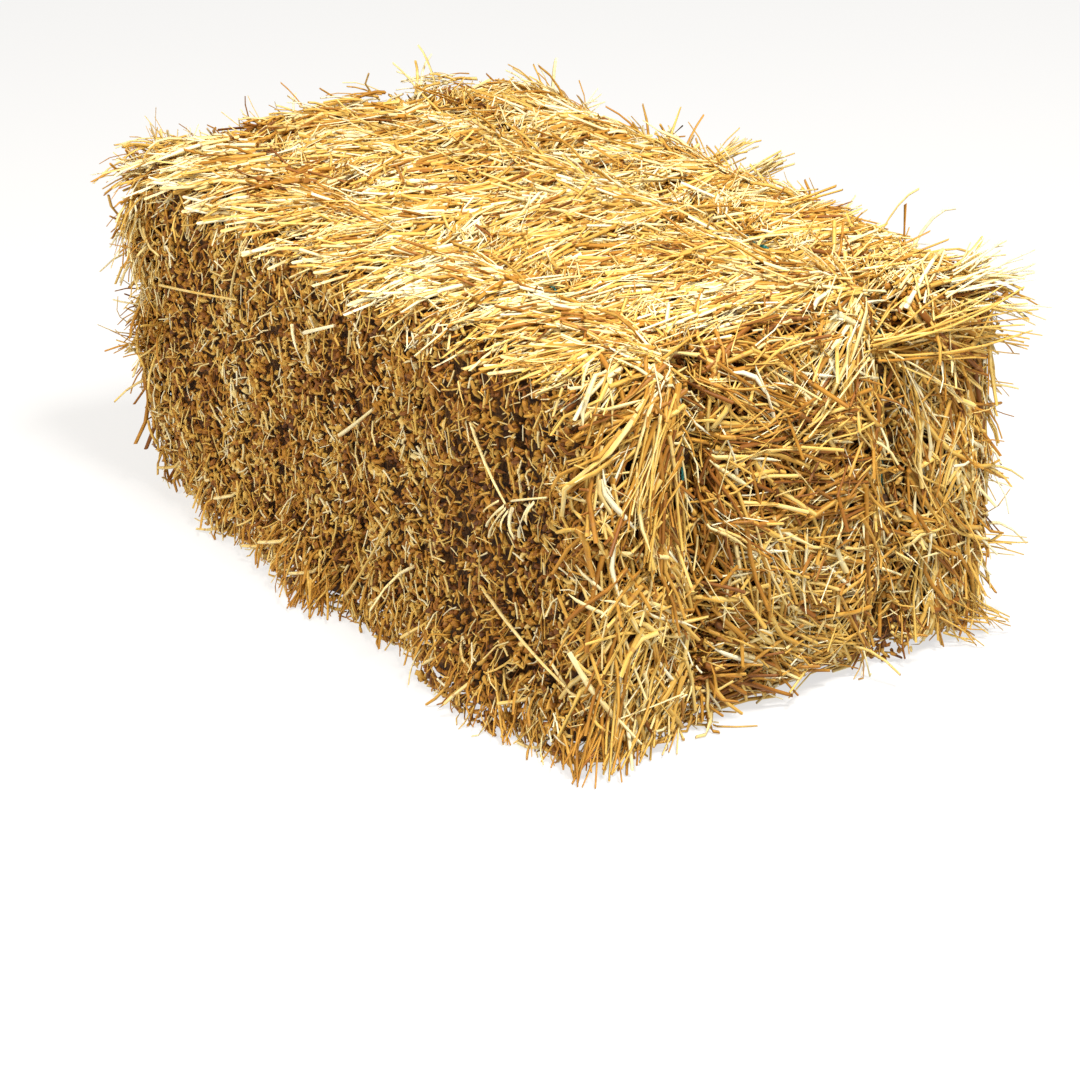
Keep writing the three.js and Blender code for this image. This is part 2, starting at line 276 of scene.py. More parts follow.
class GeometryTree(Tree):
    """A node tree with words for geometry."""

    def random(self, low, high, item, seed):
        feeds = {"Min": low, "Max": high, "ID": item, "Seed": seed}
        return self.wire("FunctionNodeRandomValue", "Value", feeds)

    def read(self, name):
        """What each point knows of itself: its Position, Normal, Tangent or Index."""
        return self.wire("GeometryNodeInput" + name, name)

    def shape_of(self, thing):
        kind = "GeometryNodeObjectInfo"
        return self.wire(kind, "Geometry", {"Object": thing}, transform_space="ORIGINAL")

    def moved(self, geometry, **where):
        """The geometry at another Position, or by an Offset from where it is."""
        return self.wire("GeometryNodeSetPosition", "Geometry", {"Geometry": geometry, **where})

    def coated(self, geometry, finish):
        feeds = {"Geometry": geometry, "Material": finish}
        return self.wire("GeometryNodeSetMaterial", "Geometry", feeds)

    def copies(self, geometry, amount, domain):
        """That many copies of each point or curve, and the number of each copy."""
        feeds, outs = {"Geometry": geometry, "Amount": amount}, ("Geometry", "Duplicate Index")
        return self.wires("GeometryNodeDuplicateElements", outs, feeds, domain=domain)

    def real(self, *parts):
        """The parts joined, with their instances made real."""
        joined = self.node("GeometryNodeJoinGeometry")
        for part in parts:
            self.feed(joined.inputs[0], part)
        feeds = {"Geometry": Wire(self, joined.outputs[0])}
        return self.wire("GeometryNodeRealizeInstances", "Geometry", feeds)

    def captured(self, geometry, **fields):
        """The geometry, and each field as it is at this place in the tree."""
        node = self.node("GeometryNodeCaptureAttribute", {"Geometry": geometry})
        for name, field in fields.items():
            node.capture_items.new("VECTOR" if is_vector(field) else "FLOAT", name)
            self.feed(node.inputs[name], field)
        return [Wire(self, node.outputs[name]) for name in ("Geometry", *fields)]

    def stored(self, geometry, name, field, domain="POINT"):
        kind = "FLOAT_VECTOR" if is_vector(field) else "FLOAT"
        feeds = {"Geometry": geometry, "Name": name, "Value": field}
        node = "GeometryNodeStoreNamedAttribute"
        return self.wire(node, "Geometry", feeds, data_type=kind, domain=domain)


def new_tree(name):
    return GeometryTree(bpy.data.node_groups.new(name, "GeometryNodeTree"))


# %% [markdown]
# ## Straw as a material
#
# A dry stem is a waxy tube: pale gold where it is clean, orange brown where it is weathered, almost
# white on a bleached leaf. The tone is a number that each stem carries, so one material serves all
# of them. Along the stem run fine streaks, and every ten centimetres or so it has a brown knot,
# called a node. Streaks are also used on the twine, so they are a group of their own.

# %% Streaks along a stem or a cord, each with the scale and detail of its noise
BROAD_STREAKS = (1.1, 2.0)
FINE_STREAKS = (4.0, 3.0)


def streaks_group():
    """Lines that run along a stem: two sizes of noise, drawn out lengthwise."""
    tree = Tree(bpy.data.node_groups.new("streaks along", "ShaderNodeTree"))
    grain = tree.input("Grain", "Vector")
    stretch = tree.input("Stretch", "Float", 0.06)
    x, y, z = tree.split(grain)
    along = tree.join(x, y, z * stretch)
    broad, fine = tree.noise(along, *BROAD_STREAKS), tree.noise(along, *FINE_STREAKS)
    return tree.output(Broad=("Float", broad), Fine=("Float", fine))


STREAKS = streaks_group()
print("made the group", STREAKS.name)

# %% What the materials share


def material(name):
    made = bpy.data.materials.new(name)
    made.use_nodes = True
    return made, Tree(made.node_tree), made.node_tree.nodes["Principled BSDF"]


def colour_ramp(tree, amount, stops):
    ramp = tree.node("ShaderNodeValToRGB", {"Fac": amount})
    while len(ramp.color_ramp.elements) < len(stops):
        ramp.color_ramp.elements.new(1.0)
    for element, (place, colour) in zip(ramp.color_ramp.elements, stops):
        element.position = place
        element.color = (*colour, 1.0)
    return Wire(tree, ramp.outputs["Color"])


def blended(tree, below, above, share, way="MIX"):
    feeds = {"Factor": share, "A": below, "B": above}
    return tree.wire("ShaderNodeMix", "Result", feeds, data_type="RGBA", blend_type=way)


def attribute(tree, name, out="Fac"):
    return tree.wire("ShaderNodeAttribute", out, attribute_name=name)


def streaks(tree, grain, stretch):
    feeds = {"Grain": grain, "Stretch": stretch}
    return tree.wires("ShaderNodeGroup", ("Broad", "Fine"), feeds, node_tree=STREAKS)


def cover(tree, surface, colour, texture, roughness, relief):
    """Gives a surface its colour, and roughness and relief that follow a texture.

    Roughness is how much it changes and its least value, and relief is its strength and its depth.
    """
    strength, depth = relief
    bump = {"Height": texture, "Strength": strength, "Distance": depth}
    tree.feed(surface.inputs["Base Color"], colour)
    tree.feed(surface.inputs["Roughness"], texture.times_plus(*roughness))
    tree.feed(surface.inputs["Normal"], tree.wire("ShaderNodeBump", "Normal", bump))


# %% The straw, from orange brown to nearly white
STRAW_TONES = (
    (0.00, (0.080, 0.027, 0.006)),
    (0.22, (0.254, 0.088, 0.010)),
    (0.45, (0.484, 0.234, 0.027)),
    (0.68, (0.696, 0.466, 0.108)),
    (0.86, (0.795, 0.676, 0.345)),
    (1.00, (0.845, 0.785, 0.550)),
)
# Cut ends are painted brown: partly the cut straw's own colour, partly painted shade for the dark
# hollow inside the stem, which the solid caps don't have.
CUT_END_AND_HOLLOW_SHADE = (0.300, 0.140, 0.032, 1.0)
CUT_END_AND_HOLLOW_SHADE_SHARE = 0.75
NODE_BROWN = (0.360, 0.170, 0.045, 1.0)
NODE_SHARE = 0.6
NODE_SPACING = 110 * MM
NODE_WIDTH = 2.6 * MM
STRAW_STRETCH = 40.0
STREAK_CONTRAST = 0.34
STREAK_SHADE = (0.5, 0.74)
STREAK_SHARE = 0.6
WEATHER = (34.0, 3.0)
WEATHER_CONTRAST = 0.30
STRAW_ROUGHNESS = (0.35, 0.36)
STRAW_RELIEF = (0.25, 0.3 * MM)
STRAW_GLOSS = 0.3


def straw_material():
    made, tree, surface = material("dry straw")
    grain = attribute(tree, "grain", "Vector")
    broad, fine = streaks(tree, grain, STRAW_STRETCH)
    weather = tree.noise(tree.wire("ShaderNodeTexCoord", "Object"), *WEATHER)
    tone = attribute(tree, "tone") + (broad - 0.5) * STREAK_CONTRAST
    tone = tone + (weather - 0.5) * WEATHER_CONTRAST
    darker = fine.times_plus(*STREAK_SHADE)
    colour = colour_ramp(tree, tone, STRAW_TONES)
    colour = blended(tree, colour, tree.join(darker, darker, darker), STREAK_SHARE, "MULTIPLY")
    ring = (tree.split(grain)[2] / NODE_SPACING).fraction().below(NODE_WIDTH / NODE_SPACING)
    colour = blended(tree, colour, NODE_BROWN, ring * NODE_SHARE)
    # Cut faces get the brown, partly painted shade of the hollow stem.
    colour = blended(tree, colour, CUT_END_AND_HOLLOW_SHADE, attribute(tree, "cut") * CUT_END_AND_HOLLOW_SHADE_SHARE)
    cover(tree, surface, colour, fine, STRAW_ROUGHNESS, STRAW_RELIEF)
    preset(surface, {"Specular IOR Level": STRAW_GLOSS})
    return made


STRAW = straw_material()
print("made the material", STRAW.name)

# %% [markdown]
# ## The painted shade inside a flake
#
# Between the stems on the outside one looks into the flake, where more straw lies in its own shade.
# Deep stems can't be seen one by one, so the body of a flake is one rough form with this material:
# bands of brown drawn out across the flake, with dark gaps. Its dark browns are painted shade, which
# stands in for the shade on the straw deep in the flake.

# %% The shaded body
# Painted shade: the browns of the deep straw as it looks in its own shade, from nearly black to mid
# brown.
BODY_SHADE_TONES = (
    (0.30, (0.018, 0.007, 0.002)),
    (0.48, (0.075, 0.030, 0.006)),
    (0.62, (0.200, 0.088, 0.016)),
    (0.80, (0.400, 0.210, 0.040)),
)
BODY_GRAIN = (28.0, 160.0, 160.0)
BODY_DETAIL = 5.0
BODY_DULLNESS = (0.2, 0.7)
BODY_RELIEF = (0.8, 3 * MM)


def body_material():
    made, tree, surface = material("shaded straw")
    place = tree.wire("ShaderNodeTexCoord", "Object")
    across = tree.wire("ShaderNodeMapping", "Vector", {"Vector": place, "Scale": BODY_GRAIN})
    lines = tree.noise(across, 1.0, BODY_DETAIL)
    cover(tree, surface, colour_ramp(tree, lines, BODY_SHADE_TONES), lines, BODY_DULLNESS, BODY_RELIEF)
    return made


BODY = body_material()
print("made the material", BODY.name)

# %% The floor's material, which glows a little
FLOOR_FINISH = {
    "Base Color": (0.28, 0.28, 0.28, 1.0),
    "Emission Color": (1.0, 1.0, 1.0, 1.0),
    "Emission Strength": 0.68,
    "Roughness": 0.9,
    "Specular IOR Level": 0.1,
}
pale_floor, _, floor_surface = material("pale floor")
preset(floor_surface, FLOOR_FINISH)
floor.data.materials.append(pale_floor)
print("floor", FLOOR_SIZE, "m wide")

# %% [markdown]
# ## One surface for the stems to lie on
#
# Stems cross from flake to flake, so they need one surface under them and not fourteen. The flakes'
# solids are joined and remeshed: the voxels are wide enough to lose the thick stems on the solids,
# and narrow enough to keep the twine's furrows, the bulges and the dips between flakes.

# %% The surface under the stems
GUIDE_VOXEL = 9 * MM
SMOOTHING = 3
SAME_CORNER = 0.01 * MM


def remesher(thing, voxel):
    """Modifiers that turn a solid into one even skin without its thinnest stems."""
    remesh = thing.modifiers.new("even skin", "REMESH")
    remesh.mode = "VOXEL"
    remesh.voxel_size = voxel
    remesh.use_smooth_shade = True
    smooth = thing.modifiers.new("smooth", "SMOOTH")
    smooth.factor = 0.5
    smooth.iterations = SMOOTHING


def mesh_of(thing):
    """The mesh of an object with its modifiers applied."""
    seen = thing.evaluated_get(bpy.context.evaluated_depsgraph_get())
    return bpy.data.meshes.new_from_object(seen, depsgraph=bpy.context.evaluated_depsgraph_get())


def plain(thing, mesh):
    """Swaps an object's modifiers for the mesh that they made."""
    thing.modifiers.clear()
    thing.data = mesh


def hidden(thing):
    thing.hide_render = True
    thing.hide_viewport = True
    return thing


def merged_copy(nodes):
    """The CAD nodes' triangles as one mesh whose corners are merged."""
    work = bmesh.new()
    for name in nodes:
        work.from_mesh(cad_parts[name].data)
    bmesh.ops.remove_doubles(work, verts=work.verts, dist=SAME_CORNER)
    mesh = bpy.data.meshes.new("merged")
    work.to_mesh(mesh)
    work.free()
    return mesh


guide = linked("guide", merged_copy(FLAKES))
remesher(guide, GUIDE_VOXEL)
plain(guide, mesh_of(guide))
hidden(guide)
print("guide surface:", len(guide.data.polygons), "faces")

# %% [markdown]
# ## Sweeping a stem
#
# A stem is a tube swept along a curve. The sweep is a tree of its own because layers of stems, single
# stems and the twine all need it. It also stores what the material reads: the tone, the grain (where
# a point is round the stem, and how far along it) and which faces are cut ends. A cut end is a face
# that looks along the stem, so the sweep compares each face's normal with the stem's direction.

# %% The sweep
CUT_FACE = 0.7
GRAIN_STEP = 0.3171
SWEEP_INPUTS = {
    "Curve": "Geometry", "Radius": 2 * MM, "Flatness": 1.0, "Sides": 4, "Outward": (0.0, 0.0, 1.0),
    "Along": 0.0, "Tone": 0.5, "Stem": 0.0, "Material": "Material",
}
SOCKET_KINDS = {int: "Int", float: "Float", tuple: "Vector"}


def take_inputs(tree, table):
    """An input for each row: a number or vector is its default, and a word the kind of one without."""
    given = {}
    for name, value in table.items():
        kind = [value] if isinstance(value, str) else [SOCKET_KINDS[type(value)], value]
        given[name] = tree.input(name, *kind)
    return given


def sweep_tree():
    tree = new_tree("stem sweep")
    given = take_inputs(tree, SWEEP_INPUTS)
    curve, radius, flatness, sides, outward, along, tone, stem, finish = given.values()

    kind = "GeometryNodeSetCurveNormal"
    curve = tree.wire(kind, "Curve", {"Curve": curve, "Normal": outward}, mode="FREE")
    fields = dict(heading=tree.read("Tangent"), along=along, stem=stem, tone=tone, radius=radius)
    curve, heading, along, stem, tone, radius = tree.captured(curve, **fields)

    feeds = {"Resolution": sides, "Radius": 1.0}
    circle = tree.wire("GeometryNodeCurvePrimitiveCircle", "Curve", feeds)
    feeds = {"Geometry": circle, "Scale": tree.join(flatness, 1.0, 1.0)}
    section = tree.wire("GeometryNodeTransform", "Geometry", feeds)
    section, around = tree.captured(section, around=tree.read("Position"))

    feeds = {"Curve": curve, "Profile Curve": section, "Scale": radius, "Fill Caps": True}
    mesh = tree.wire("GeometryNodeCurveToMesh", "Mesh", feeds)
    x, y, _ = tree.split(around)
    offset = stem * GRAIN_STEP
    mesh = tree.stored(mesh, "grain", tree.join(x + offset, y, along + offset))
    mesh = tree.stored(mesh, "tone", tone)
    end = tree.read("Normal").dot(heading).size()
    # The material paints these faces brown, partly as painted shade of the hollow inside the stem.
    mesh = tree.stored(mesh, "cut", end.above(CUT_FACE), "FACE")
    feeds = {"Geometry": mesh, "Shade Smooth": end.below(CUT_FACE)}
    mesh = tree.wire("GeometryNodeSetShadeSmooth", "Geometry", feeds)
    return tree.output(Mesh=("Geometry", tree.coated(mesh, finish)))


SWEEP = sweep_tree()
print("made the tree", SWEEP.name)


def swept(tree, feeds):
    return tree.wire("GeometryNodeGroup", "Mesh", feeds, node_tree=SWEEP)


# %% [markdown]
# ## A layer of stems
#
# All straw on the bale is made by one tree with other numbers. It scatters roots over a part of the
# guide surface, lays a stem through each root, bends it, and pulls it down to the surface as far as
# Follow says. Straw lies in locks, small bundles with one direction: cells of a Voronoi texture give
# all stems of a cell the same turn, height and tone, and each stem then strays a little from its
# lock. Near the notches where the twine bites into the top edges, the stems fan out from the notch.
# Beside the twine they sink in as far as Bite says, and outside it, on the two ends, they turn to run
# down as far as Steep says.

# %% The inputs of a layer
LAYER_INPUTS = {
    "Piece": "Geometry", "Guide": "Object", "Material": "Material",
    "Facing": (0.0, 0.0, 1.0), "Facing Limit": 0.6, "From": (-1.0, -1.0, -1.0), "To": (1.0, 1.0, 1.0),
    "Below": 1.0, "Patchy": 0.0, "Parting": 0.0, "Density": 1000.0, "Seed": 0,
    "Grain": (1.0, 0.0, 0.0), "Lock Size": 0.05, "Lock Spread": 0.5, "Stem Spread": 0.15,
    "Crossing": 0.1, "Fan": 0.0, "Fan Reach": 0.1, "Steep": 0.0,
    "Notch A": (-0.114, -0.4, 0.35), "Notch B": (0.104, -0.4, 0.35),
    "Rooted": 0.0, "Shortest": 0.05, "Longest": 0.1, "Thinnest": 0.0012, "Thickest": 0.0022,
    "Flatness": 1.0, "Pointed": 0.0, "Least Lift": 0.0, "Most Lift": 0.0, "Droop": 0.0,
    "Lowest": 0.0, "Highest": 0.008, "Rise": 0.0, "Tilt": (0.0, 0.0, 0.0), "Tuck": 0.0, "Skirt": 0.0,
    "Bite": 0.0, "Knife": -1.0, "Square": 0.001, "Follow": 1.0, "Bend": 0.2, "Kink": 0.3, "Loose": 0.2,
    "Rings": 4, "Sides": 4, "Palest": 0.9, "Darkest": 0.3, "Lock Tone": 0.2,
}
NOTCHES = ("Notch A", "Notch B")
print(len(LAYER_INPUTS), "named inputs")

# %% Where the roots are, and what the stems of a lock share
PATCH_SCALE = 0.6


def roots(tree, given):
    """Points on the part of the guide that the layer covers, with what stays the same along a stem."""
    surface = tree.shape_of(given["Guide"])
    place = tree.read("Position")
    first, *others = tree.split(place - given["From"]) + tree.split(given["To"] - place)
    for distance in others:
        first = first.at_most(distance)
    chosen = tree.read("Normal").dot(given["Facing"]).above(given["Facing Limit"]) * first.above(0.0)
    patches = tree.noise(place, tree.maths("DIVIDE", PATCH_SCALE, given["Lock Size"]), 0.0)
    x, _, z = tree.split(place)
    chosen = chosen * patches.above(given["Patchy"]) * z.below(given["Below"])
    for notch in NOTCHES:
        beside = (x - tree.split(given[notch])[0]).size()
        chosen = chosen * beside.above(given["Parting"])
    feeds = {"Mesh": surface, "Density": given["Density"] * chosen, "Seed": given["Seed"]}
    points, up = tree.wires("GeometryNodeDistributePointsOnFaces", ("Points", "Normal"), feeds)
    return tree.captured(points, root=place, up=up, number=tree.read("Index")) + [surface]


def lock_of(tree, given, root):
    """Three numbers from 0 to 1 that all stems of one lock share."""
    feeds = {"Vector": root, "Scale": tree.maths("DIVIDE", 1.0, given["Lock Size"])}
    return tree.split(tree.wire("ShaderNodeTexVoronoi", "Color", feeds))


# %% Which way a stem runs
STEEP_RUN = 0.38
STEEP_EDGE = 25 * MM


def past_twine(tree, given, root):
    """1 outside the two loops of twine and 0 between them, and on which side of the bale that is."""
    a, b, across = (tree.split(point)[0] for point in (given["Notch A"], given["Notch B"], root))
    off_middle = across - (a + b) * 0.5
    beyond = (off_middle.size() - (b - a) * 0.5) / STEEP_EDGE
    return beyond.at_most(1.0).at_least(0.0), off_middle.sign()


def heading(tree, given, root, up, turn):
    """Directions along and across a stem in the surface, before it bends."""
    to_a, to_b = (root - given[notch] for notch in NOTCHES)
    far_a, far_b = to_a.length(), to_b.length()
    away = tree.mix(to_a, to_b, far_b.below(far_a))
    near = far_a.at_most(far_b) / given["Fan Reach"]
    fan = given["Fan"] * (near * -1.0).exponent()
    outer, way = past_twine(tree, given, root)
    grain = tree.mix(given["Grain"], tree.join(way * STEEP_RUN, 0.0, -1.0), outer * given["Steep"])
    wish = tree.mix(grain * grain.dot(away).sign(), away.unit(), fan)
    level = (wish - up * wish.dot(up)).unit()
    side = up.cross(level)
    cosine, sine = turn.cosine(), turn.sine()
    return level * cosine + side * sine, side * cosine - level * sine


# %% Where a stem is cut, and how it sinks in beside the twine
KNIFE_WANDER = (-14 * MM, 1.0)
SHORTEST_CUT = 6 * MM
LEAST_RUN = 0.05
ANY_LENGTH = 10.0
TUCK_HEIGHT = 90 * MM
BITE_WIDTH = 16 * MM
BITE_PLACE = 258 * MM
BITE_REACH = 110 * MM


def by_knife(tree, given, place):
    """1 where the knife cut, and less away from there, down to 0."""
    past = (tree.split(place)[0] - given["Knife"]) / given["Square"]
    return (1.0 - past.at_least(0.0)).at_least(0.0)


def sheared(tree, given, root, along, half, wander):
    """How far a stem goes both ways from its root. Wander lets most of them pass the knife's plane."""
    run = tree.split(along)[0]
    room = tree.split(root)[0] - given["Knife"] + wander
    room = room.at_least(SHORTEST_CUT) / run.size().at_least(LEAST_RUN)
    way = run.sign()
    first = half.at_most(room + (1.0 - way) * ANY_LENGTH)
    last = half.at_most(room + (way + 1.0) * ANY_LENGTH)
    return first, last


def near_ground(tree, place):
    """1 on the ground, and less above it, down to 0."""
    return (1.0 - tree.split(place)[2] / TUCK_HEIGHT).at_least(0.0)


def sunk(tree, given, root, place, height):
    """The height of a stem where the skirt, the tuck and the bite of the twine have changed it."""
    between = 1.0 - past_twine(tree, given, root)[0]
    height = height + near_ground(tree, place) * (given["Skirt"] - given["Tuck"] * between)
    off_bite = (tree.split(place)[2] - BITE_PLACE).size() / BITE_REACH
    bite = given["Bite"] * (1.0 - off_bite).at_least(0.0)
    for notch in NOTCHES:
        beside = tree.split(place - given[notch])[0].size() / BITE_WIDTH
        height = height - bite * (1.0 - beside).at_least(0.0)
    return height


# %% What each stem draws by chance
CROSSING_TURN = 1.4
SHORTER = 0.55
MOSTLY_THIN = 1.7
RARELY_KINKED = 3.0
RARELY_LOOSE = 4.0
KINK_PLACE = (0.3, 0.7)


def drawn(tree, given, root, number):
    """The chance values of a stem. The draws are counted, so that each has a seed of its own."""
    draws = iter(range(100))

    def draw(low=0.0, high=1.0):
        return tree.random(low, high, number, given["Seed"] + next(draws))

    def between(least, most, share):
        return tree.mix(given[least], given[most], share)

    lock_turn, lock_height, lock_tone = lock_of(tree, given, root)
    crossing = draw().below(given["Crossing"])
    turn = (lock_turn - 0.5) * 2.0 * given["Lock Spread"] + draw(-1.0) * given["Stem Spread"]
    return SimpleNamespace(
        turn=turn + crossing * draw(-CROSSING_TURN, CROSSING_TURN),
        lift=between("Least Lift", "Most Lift", draw()),
        length=between("Shortest", "Longest", draw() * draw(SHORTER, 1.0)),
        thick=between("Thinnest", "Thickest", draw().power(MOSTLY_THIN)),
        height=between("Lowest", "Highest", draw() * 0.5 + lock_height * 0.5),
        bend=draw(-1.0) * given["Bend"],
        kinked=draw().power(RARELY_KINKED) * draw(-1.0).sign() * given["Kink"],
        kink_at=draw(*KINK_PLACE),
        loose=draw().power(RARELY_LOOSE) * given["Loose"],
        tone=between("Darkest", "Palest", draw()) + (lock_tone - 0.5) * given["Lock Tone"],
        wander=draw(*KNIFE_WANDER),
    )


# %% Where a stem lies
LAYER_REACH = (0.281, 0.452)
TIP_FROM = 0.45
TIP_RISE = 3.0


def outline(tree, given, stem, root, up, share):
    """A stem as it would stand in free air, at each share of its length."""
    along, across = heading(tree, given, root, up, stem.turn)
    first, last = sheared(tree, given, root, along, stem.length * 0.5, stem.wander)
    reach = tree.mix(first * -1.0, last, share) + given["Rooted"] * stem.length * 0.5
    kink = stem.kinked * stem.length * (share - stem.kink_at).at_least(0.0)
    sideways = stem.bend * reach * reach / stem.length + kink
    rise = stem.lift.sine() * reach - given["Droop"] * reach * reach / stem.length
    return root + along * (stem.lift.cosine() * reach) + across * sideways + up * rise


def laid(tree, given, stem, root, up, surface, share):
    """Where a stem lies on the bale, and which way is outward there."""
    up = tree.mix(up, given["Facing"], by_knife(tree, given, root)).unit()
    place = outline(tree, given, stem, root, up, share)
    height = stem.height + given["Rise"] + root.dot(given["Tilt"])
    height = sunk(tree, given, root, place, height)
    feeds = {"Geometry": surface, "Sample Position": place}
    foot = tree.wire("GeometryNodeProximity", "Position", feeds, target_element="FACES")
    feeds = {"Mesh": surface, "Value": tree.read("Normal"), "Sample Position": place}
    kind = "GeometryNodeSampleNearestSurface"
    outward = tree.wire(kind, "Value", feeds, data_type="FLOAT_VECTOR").unit()
    follow = given["Follow"] * (1.0 - by_knife(tree, given, place))
    tip = (share - TIP_FROM).at_least(0.0)
    loosened = up * (stem.loose * stem.length * tip * tip * TIP_RISE)
    standing, lying = place + up * height, foot + outward * height
    *level, z = tree.split(tree.mix(standing, lying, follow) + loosened)
    x, y = (value.at_most(most).at_least(-most) for value, most in zip(level, LAYER_REACH))
    return tree.join(x, y, z.at_least(stem.thick)), outward


# %% The tree of a layer
STEM_TAPER = 0.25
LEAF_MIDDLE = 1.06
LEAF_POINT = 2.4


def layer_tree():
    tree = new_tree("straw layer")
    given = take_inputs(tree, LAYER_INPUTS)
    points, root, up, number, surface = roots(tree, given)
    stem = drawn(tree, given, root, number)

    points, ring = tree.copies(points, given["Rings"], "POINT")
    points, ring = tree.captured(points, ring=ring)
    share = ring / (given["Rings"] - 1.0)
    place, outward = laid(tree, given, stem, root, up, surface, share)
    points = tree.moved(points, Position=place)

    blunt = 1.0 - share * STEM_TAPER
    leaf = LEAF_MIDDLE - (share * 2.0 - 1.0).size().power(LEAF_POINT)
    radius = stem.thick * tree.mix(blunt, leaf, given["Pointed"])
    fields = dict(outward=outward, reach=share * stem.length, tone=stem.tone, number=number)
    points, radius, outward, reach, tone, number = tree.captured(points, radius=radius, **fields)
    feeds = {"Points": points, "Curve Group ID": number, "Weight": ring}
    mesh = swept(tree, {
        "Curve": tree.wire("GeometryNodePointsToCurves", "Curves", feeds),
        "Radius": radius, "Outward": outward, "Along": reach, "Tone": tone, "Stem": number,
        **{name: given[name] for name in ("Flatness", "Sides", "Material")},
    })
    return tree.output(Piece=("Geometry", tree.real(mesh, given["Piece"])))


LAYER = layer_tree()
print("made the tree", LAYER.name, "with", len(LAYER.nodes), "nodes")

# %% [markdown]
# ## The body of a flake
#
# Under the stems each flake has a body: its own solid, remeshed so that the thick stems are gone,
# drawn in far enough for the stems to lie in front of it, and roughened. It is what shows in the
# gaps, dark with painted shade for the straw deep in the flake. At the foot of the sheared side the
# straw of some flakes bulges and that of others draws back, and the body does so too.

# %% The rough body
FOOT_HEAPS = dict(zip(FLAKES, (16, 14, 33, 27, 5, 6, 8, 24, 26, 6, 1, 10, -14, -18)))
BODY_VOXEL = 14 * MM
BODY_INSET = (0.932, 0.972, 0.955)
BODY_MIDDLE = (0.0, 0.0, 60 * MM)
BODY_LUMPS = (38.0, 2.0)
BODY_ROUGHNESS = 9 * MM
BODY_SKIRT = 8 * MM
BODY_INPUTS = {
    "Piece": "Geometry", "Middle": BODY_MIDDLE, "Inset": BODY_INSET, "Roughness": BODY_ROUGHNESS,
    "Skirt": 0.0, "Tuck": 0.0, "Material": "Material",
}
SKIRT_FROM = -150 * MM
SKIRT_EDGE = 60 * MM
END_TUCK = 9 * MM


def body_tree():
    """Draws a form in towards its middle and pushes its surface in and out by noise."""
    tree = new_tree("rough body")
    piece, middle, inset, roughness, skirt, tuck, finish = take_inputs(tree, BODY_INPUTS).values()
    place = tree.read("Position")
    bumpy = tree.read("Normal") * ((tree.noise(place, *BODY_LUMPS) - 0.5) * roughness)
    x, y, _ = tree.split(place)
    low = near_ground(tree, place)
    left = ((SKIRT_FROM - x) / SKIRT_EDGE).at_least(0.0).at_most(1.0)
    between = 1.0 - past_twine(tree, LAYER_INPUTS, place)[0]
    inwards = y.sign() * tuck * between * low
    drawn_in = middle + (place - middle) * inset + bumpy
    x, y, z = tree.split(drawn_in - tree.join(skirt * left * low, inwards, 0.0))
    real = tree.real(tree.moved(piece, Position=tree.join(x, y, z.at_least(0.0))))
    return tree.output(Piece=("Geometry", tree.coated(real, finish)))


ROUGH_BODY = body_tree()
print("made the tree", ROUGH_BODY.name)

# %% Giving an object a tree with its inputs set


def add_tree(thing, group, title, **inputs):
    """Adds the tree as a modifier. Inputs are given by name and set by their sockets' identifiers."""
    modifier = thing.modifiers.new(title, "NODES")
    modifier.node_group = group
    sockets = {s.name: s for s in group.interface.items_tree if s.item_type == "SOCKET"}
    for name, value in inputs.items():
        modifier[sockets[name].identifier] = value


def flake_body(name):
    thing = linked(name + "_straw", merged_copy([name]))
    remesher(thing, BODY_VOXEL)
    tuck = END_TUCK if name in (FLAKES[0], FLAKES[-1]) else 0.0
    skirt = FOOT_HEAPS[name] * MM + BODY_SKIRT
    add_tree(thing, ROUGH_BODY, "rough body", Skirt=skirt, Tuck=tuck, Material=BODY)
    return thing


print("a flake's body is drawn in by", [round(1 - n, 3) for n in BODY_INSET])

# %% [markdown]
# ## Kinds of straw
#
# Looked at closely, the bale is made of a few things. Crushed straw fills it and lies deep, darker
# than the rest: partly its own brown, partly painted shade for the gaps. Stems are the round golden
# ones that one sees first. Wisps are split stems and fibres, as thin as a match.
# Leaves are the flat, nearly white sheaths that peel off the stems. The sheared side is all knuckles,
# stubs and splinters: stems bent double before the knife, cut ends and chaff. Tufts stand out at the
# edges. Each kind is a set of values for the layer tree, and each side of the bale is another set,
# which says where and how it lies. Both are written short: small letters, a least and a most value
# side by side, and lengths in millimetres.

# %% Values for the layer tree
PAIRS = {
    "thickness": ("Thinnest", "Thickest"), "length": ("Shortest", "Longest"),
    "height": ("Lowest", "Highest"), "tone": ("Darkest", "Palest"), "lift": ("Least Lift", "Most Lift"),
}
IN_MM = ("thickness", "length", "height", "above", "below", "left", "right", "knife", "square",
         "lock_size", "rise", "parting", "bite")


def values(*bases, **given):
    """All values of the bases, and the given ones after them."""
    made = {name: value for base in bases for name, value in base.items()}
    for key, value in given.items():
        names = PAIRS.get(key) or [key.replace("_", " ").title()]
        numbers = value if key in PAIRS else [value]
        if key in IN_MM:
            numbers = [number * MM for number in numbers]
        made |= dict(zip(names, numbers))
    return made


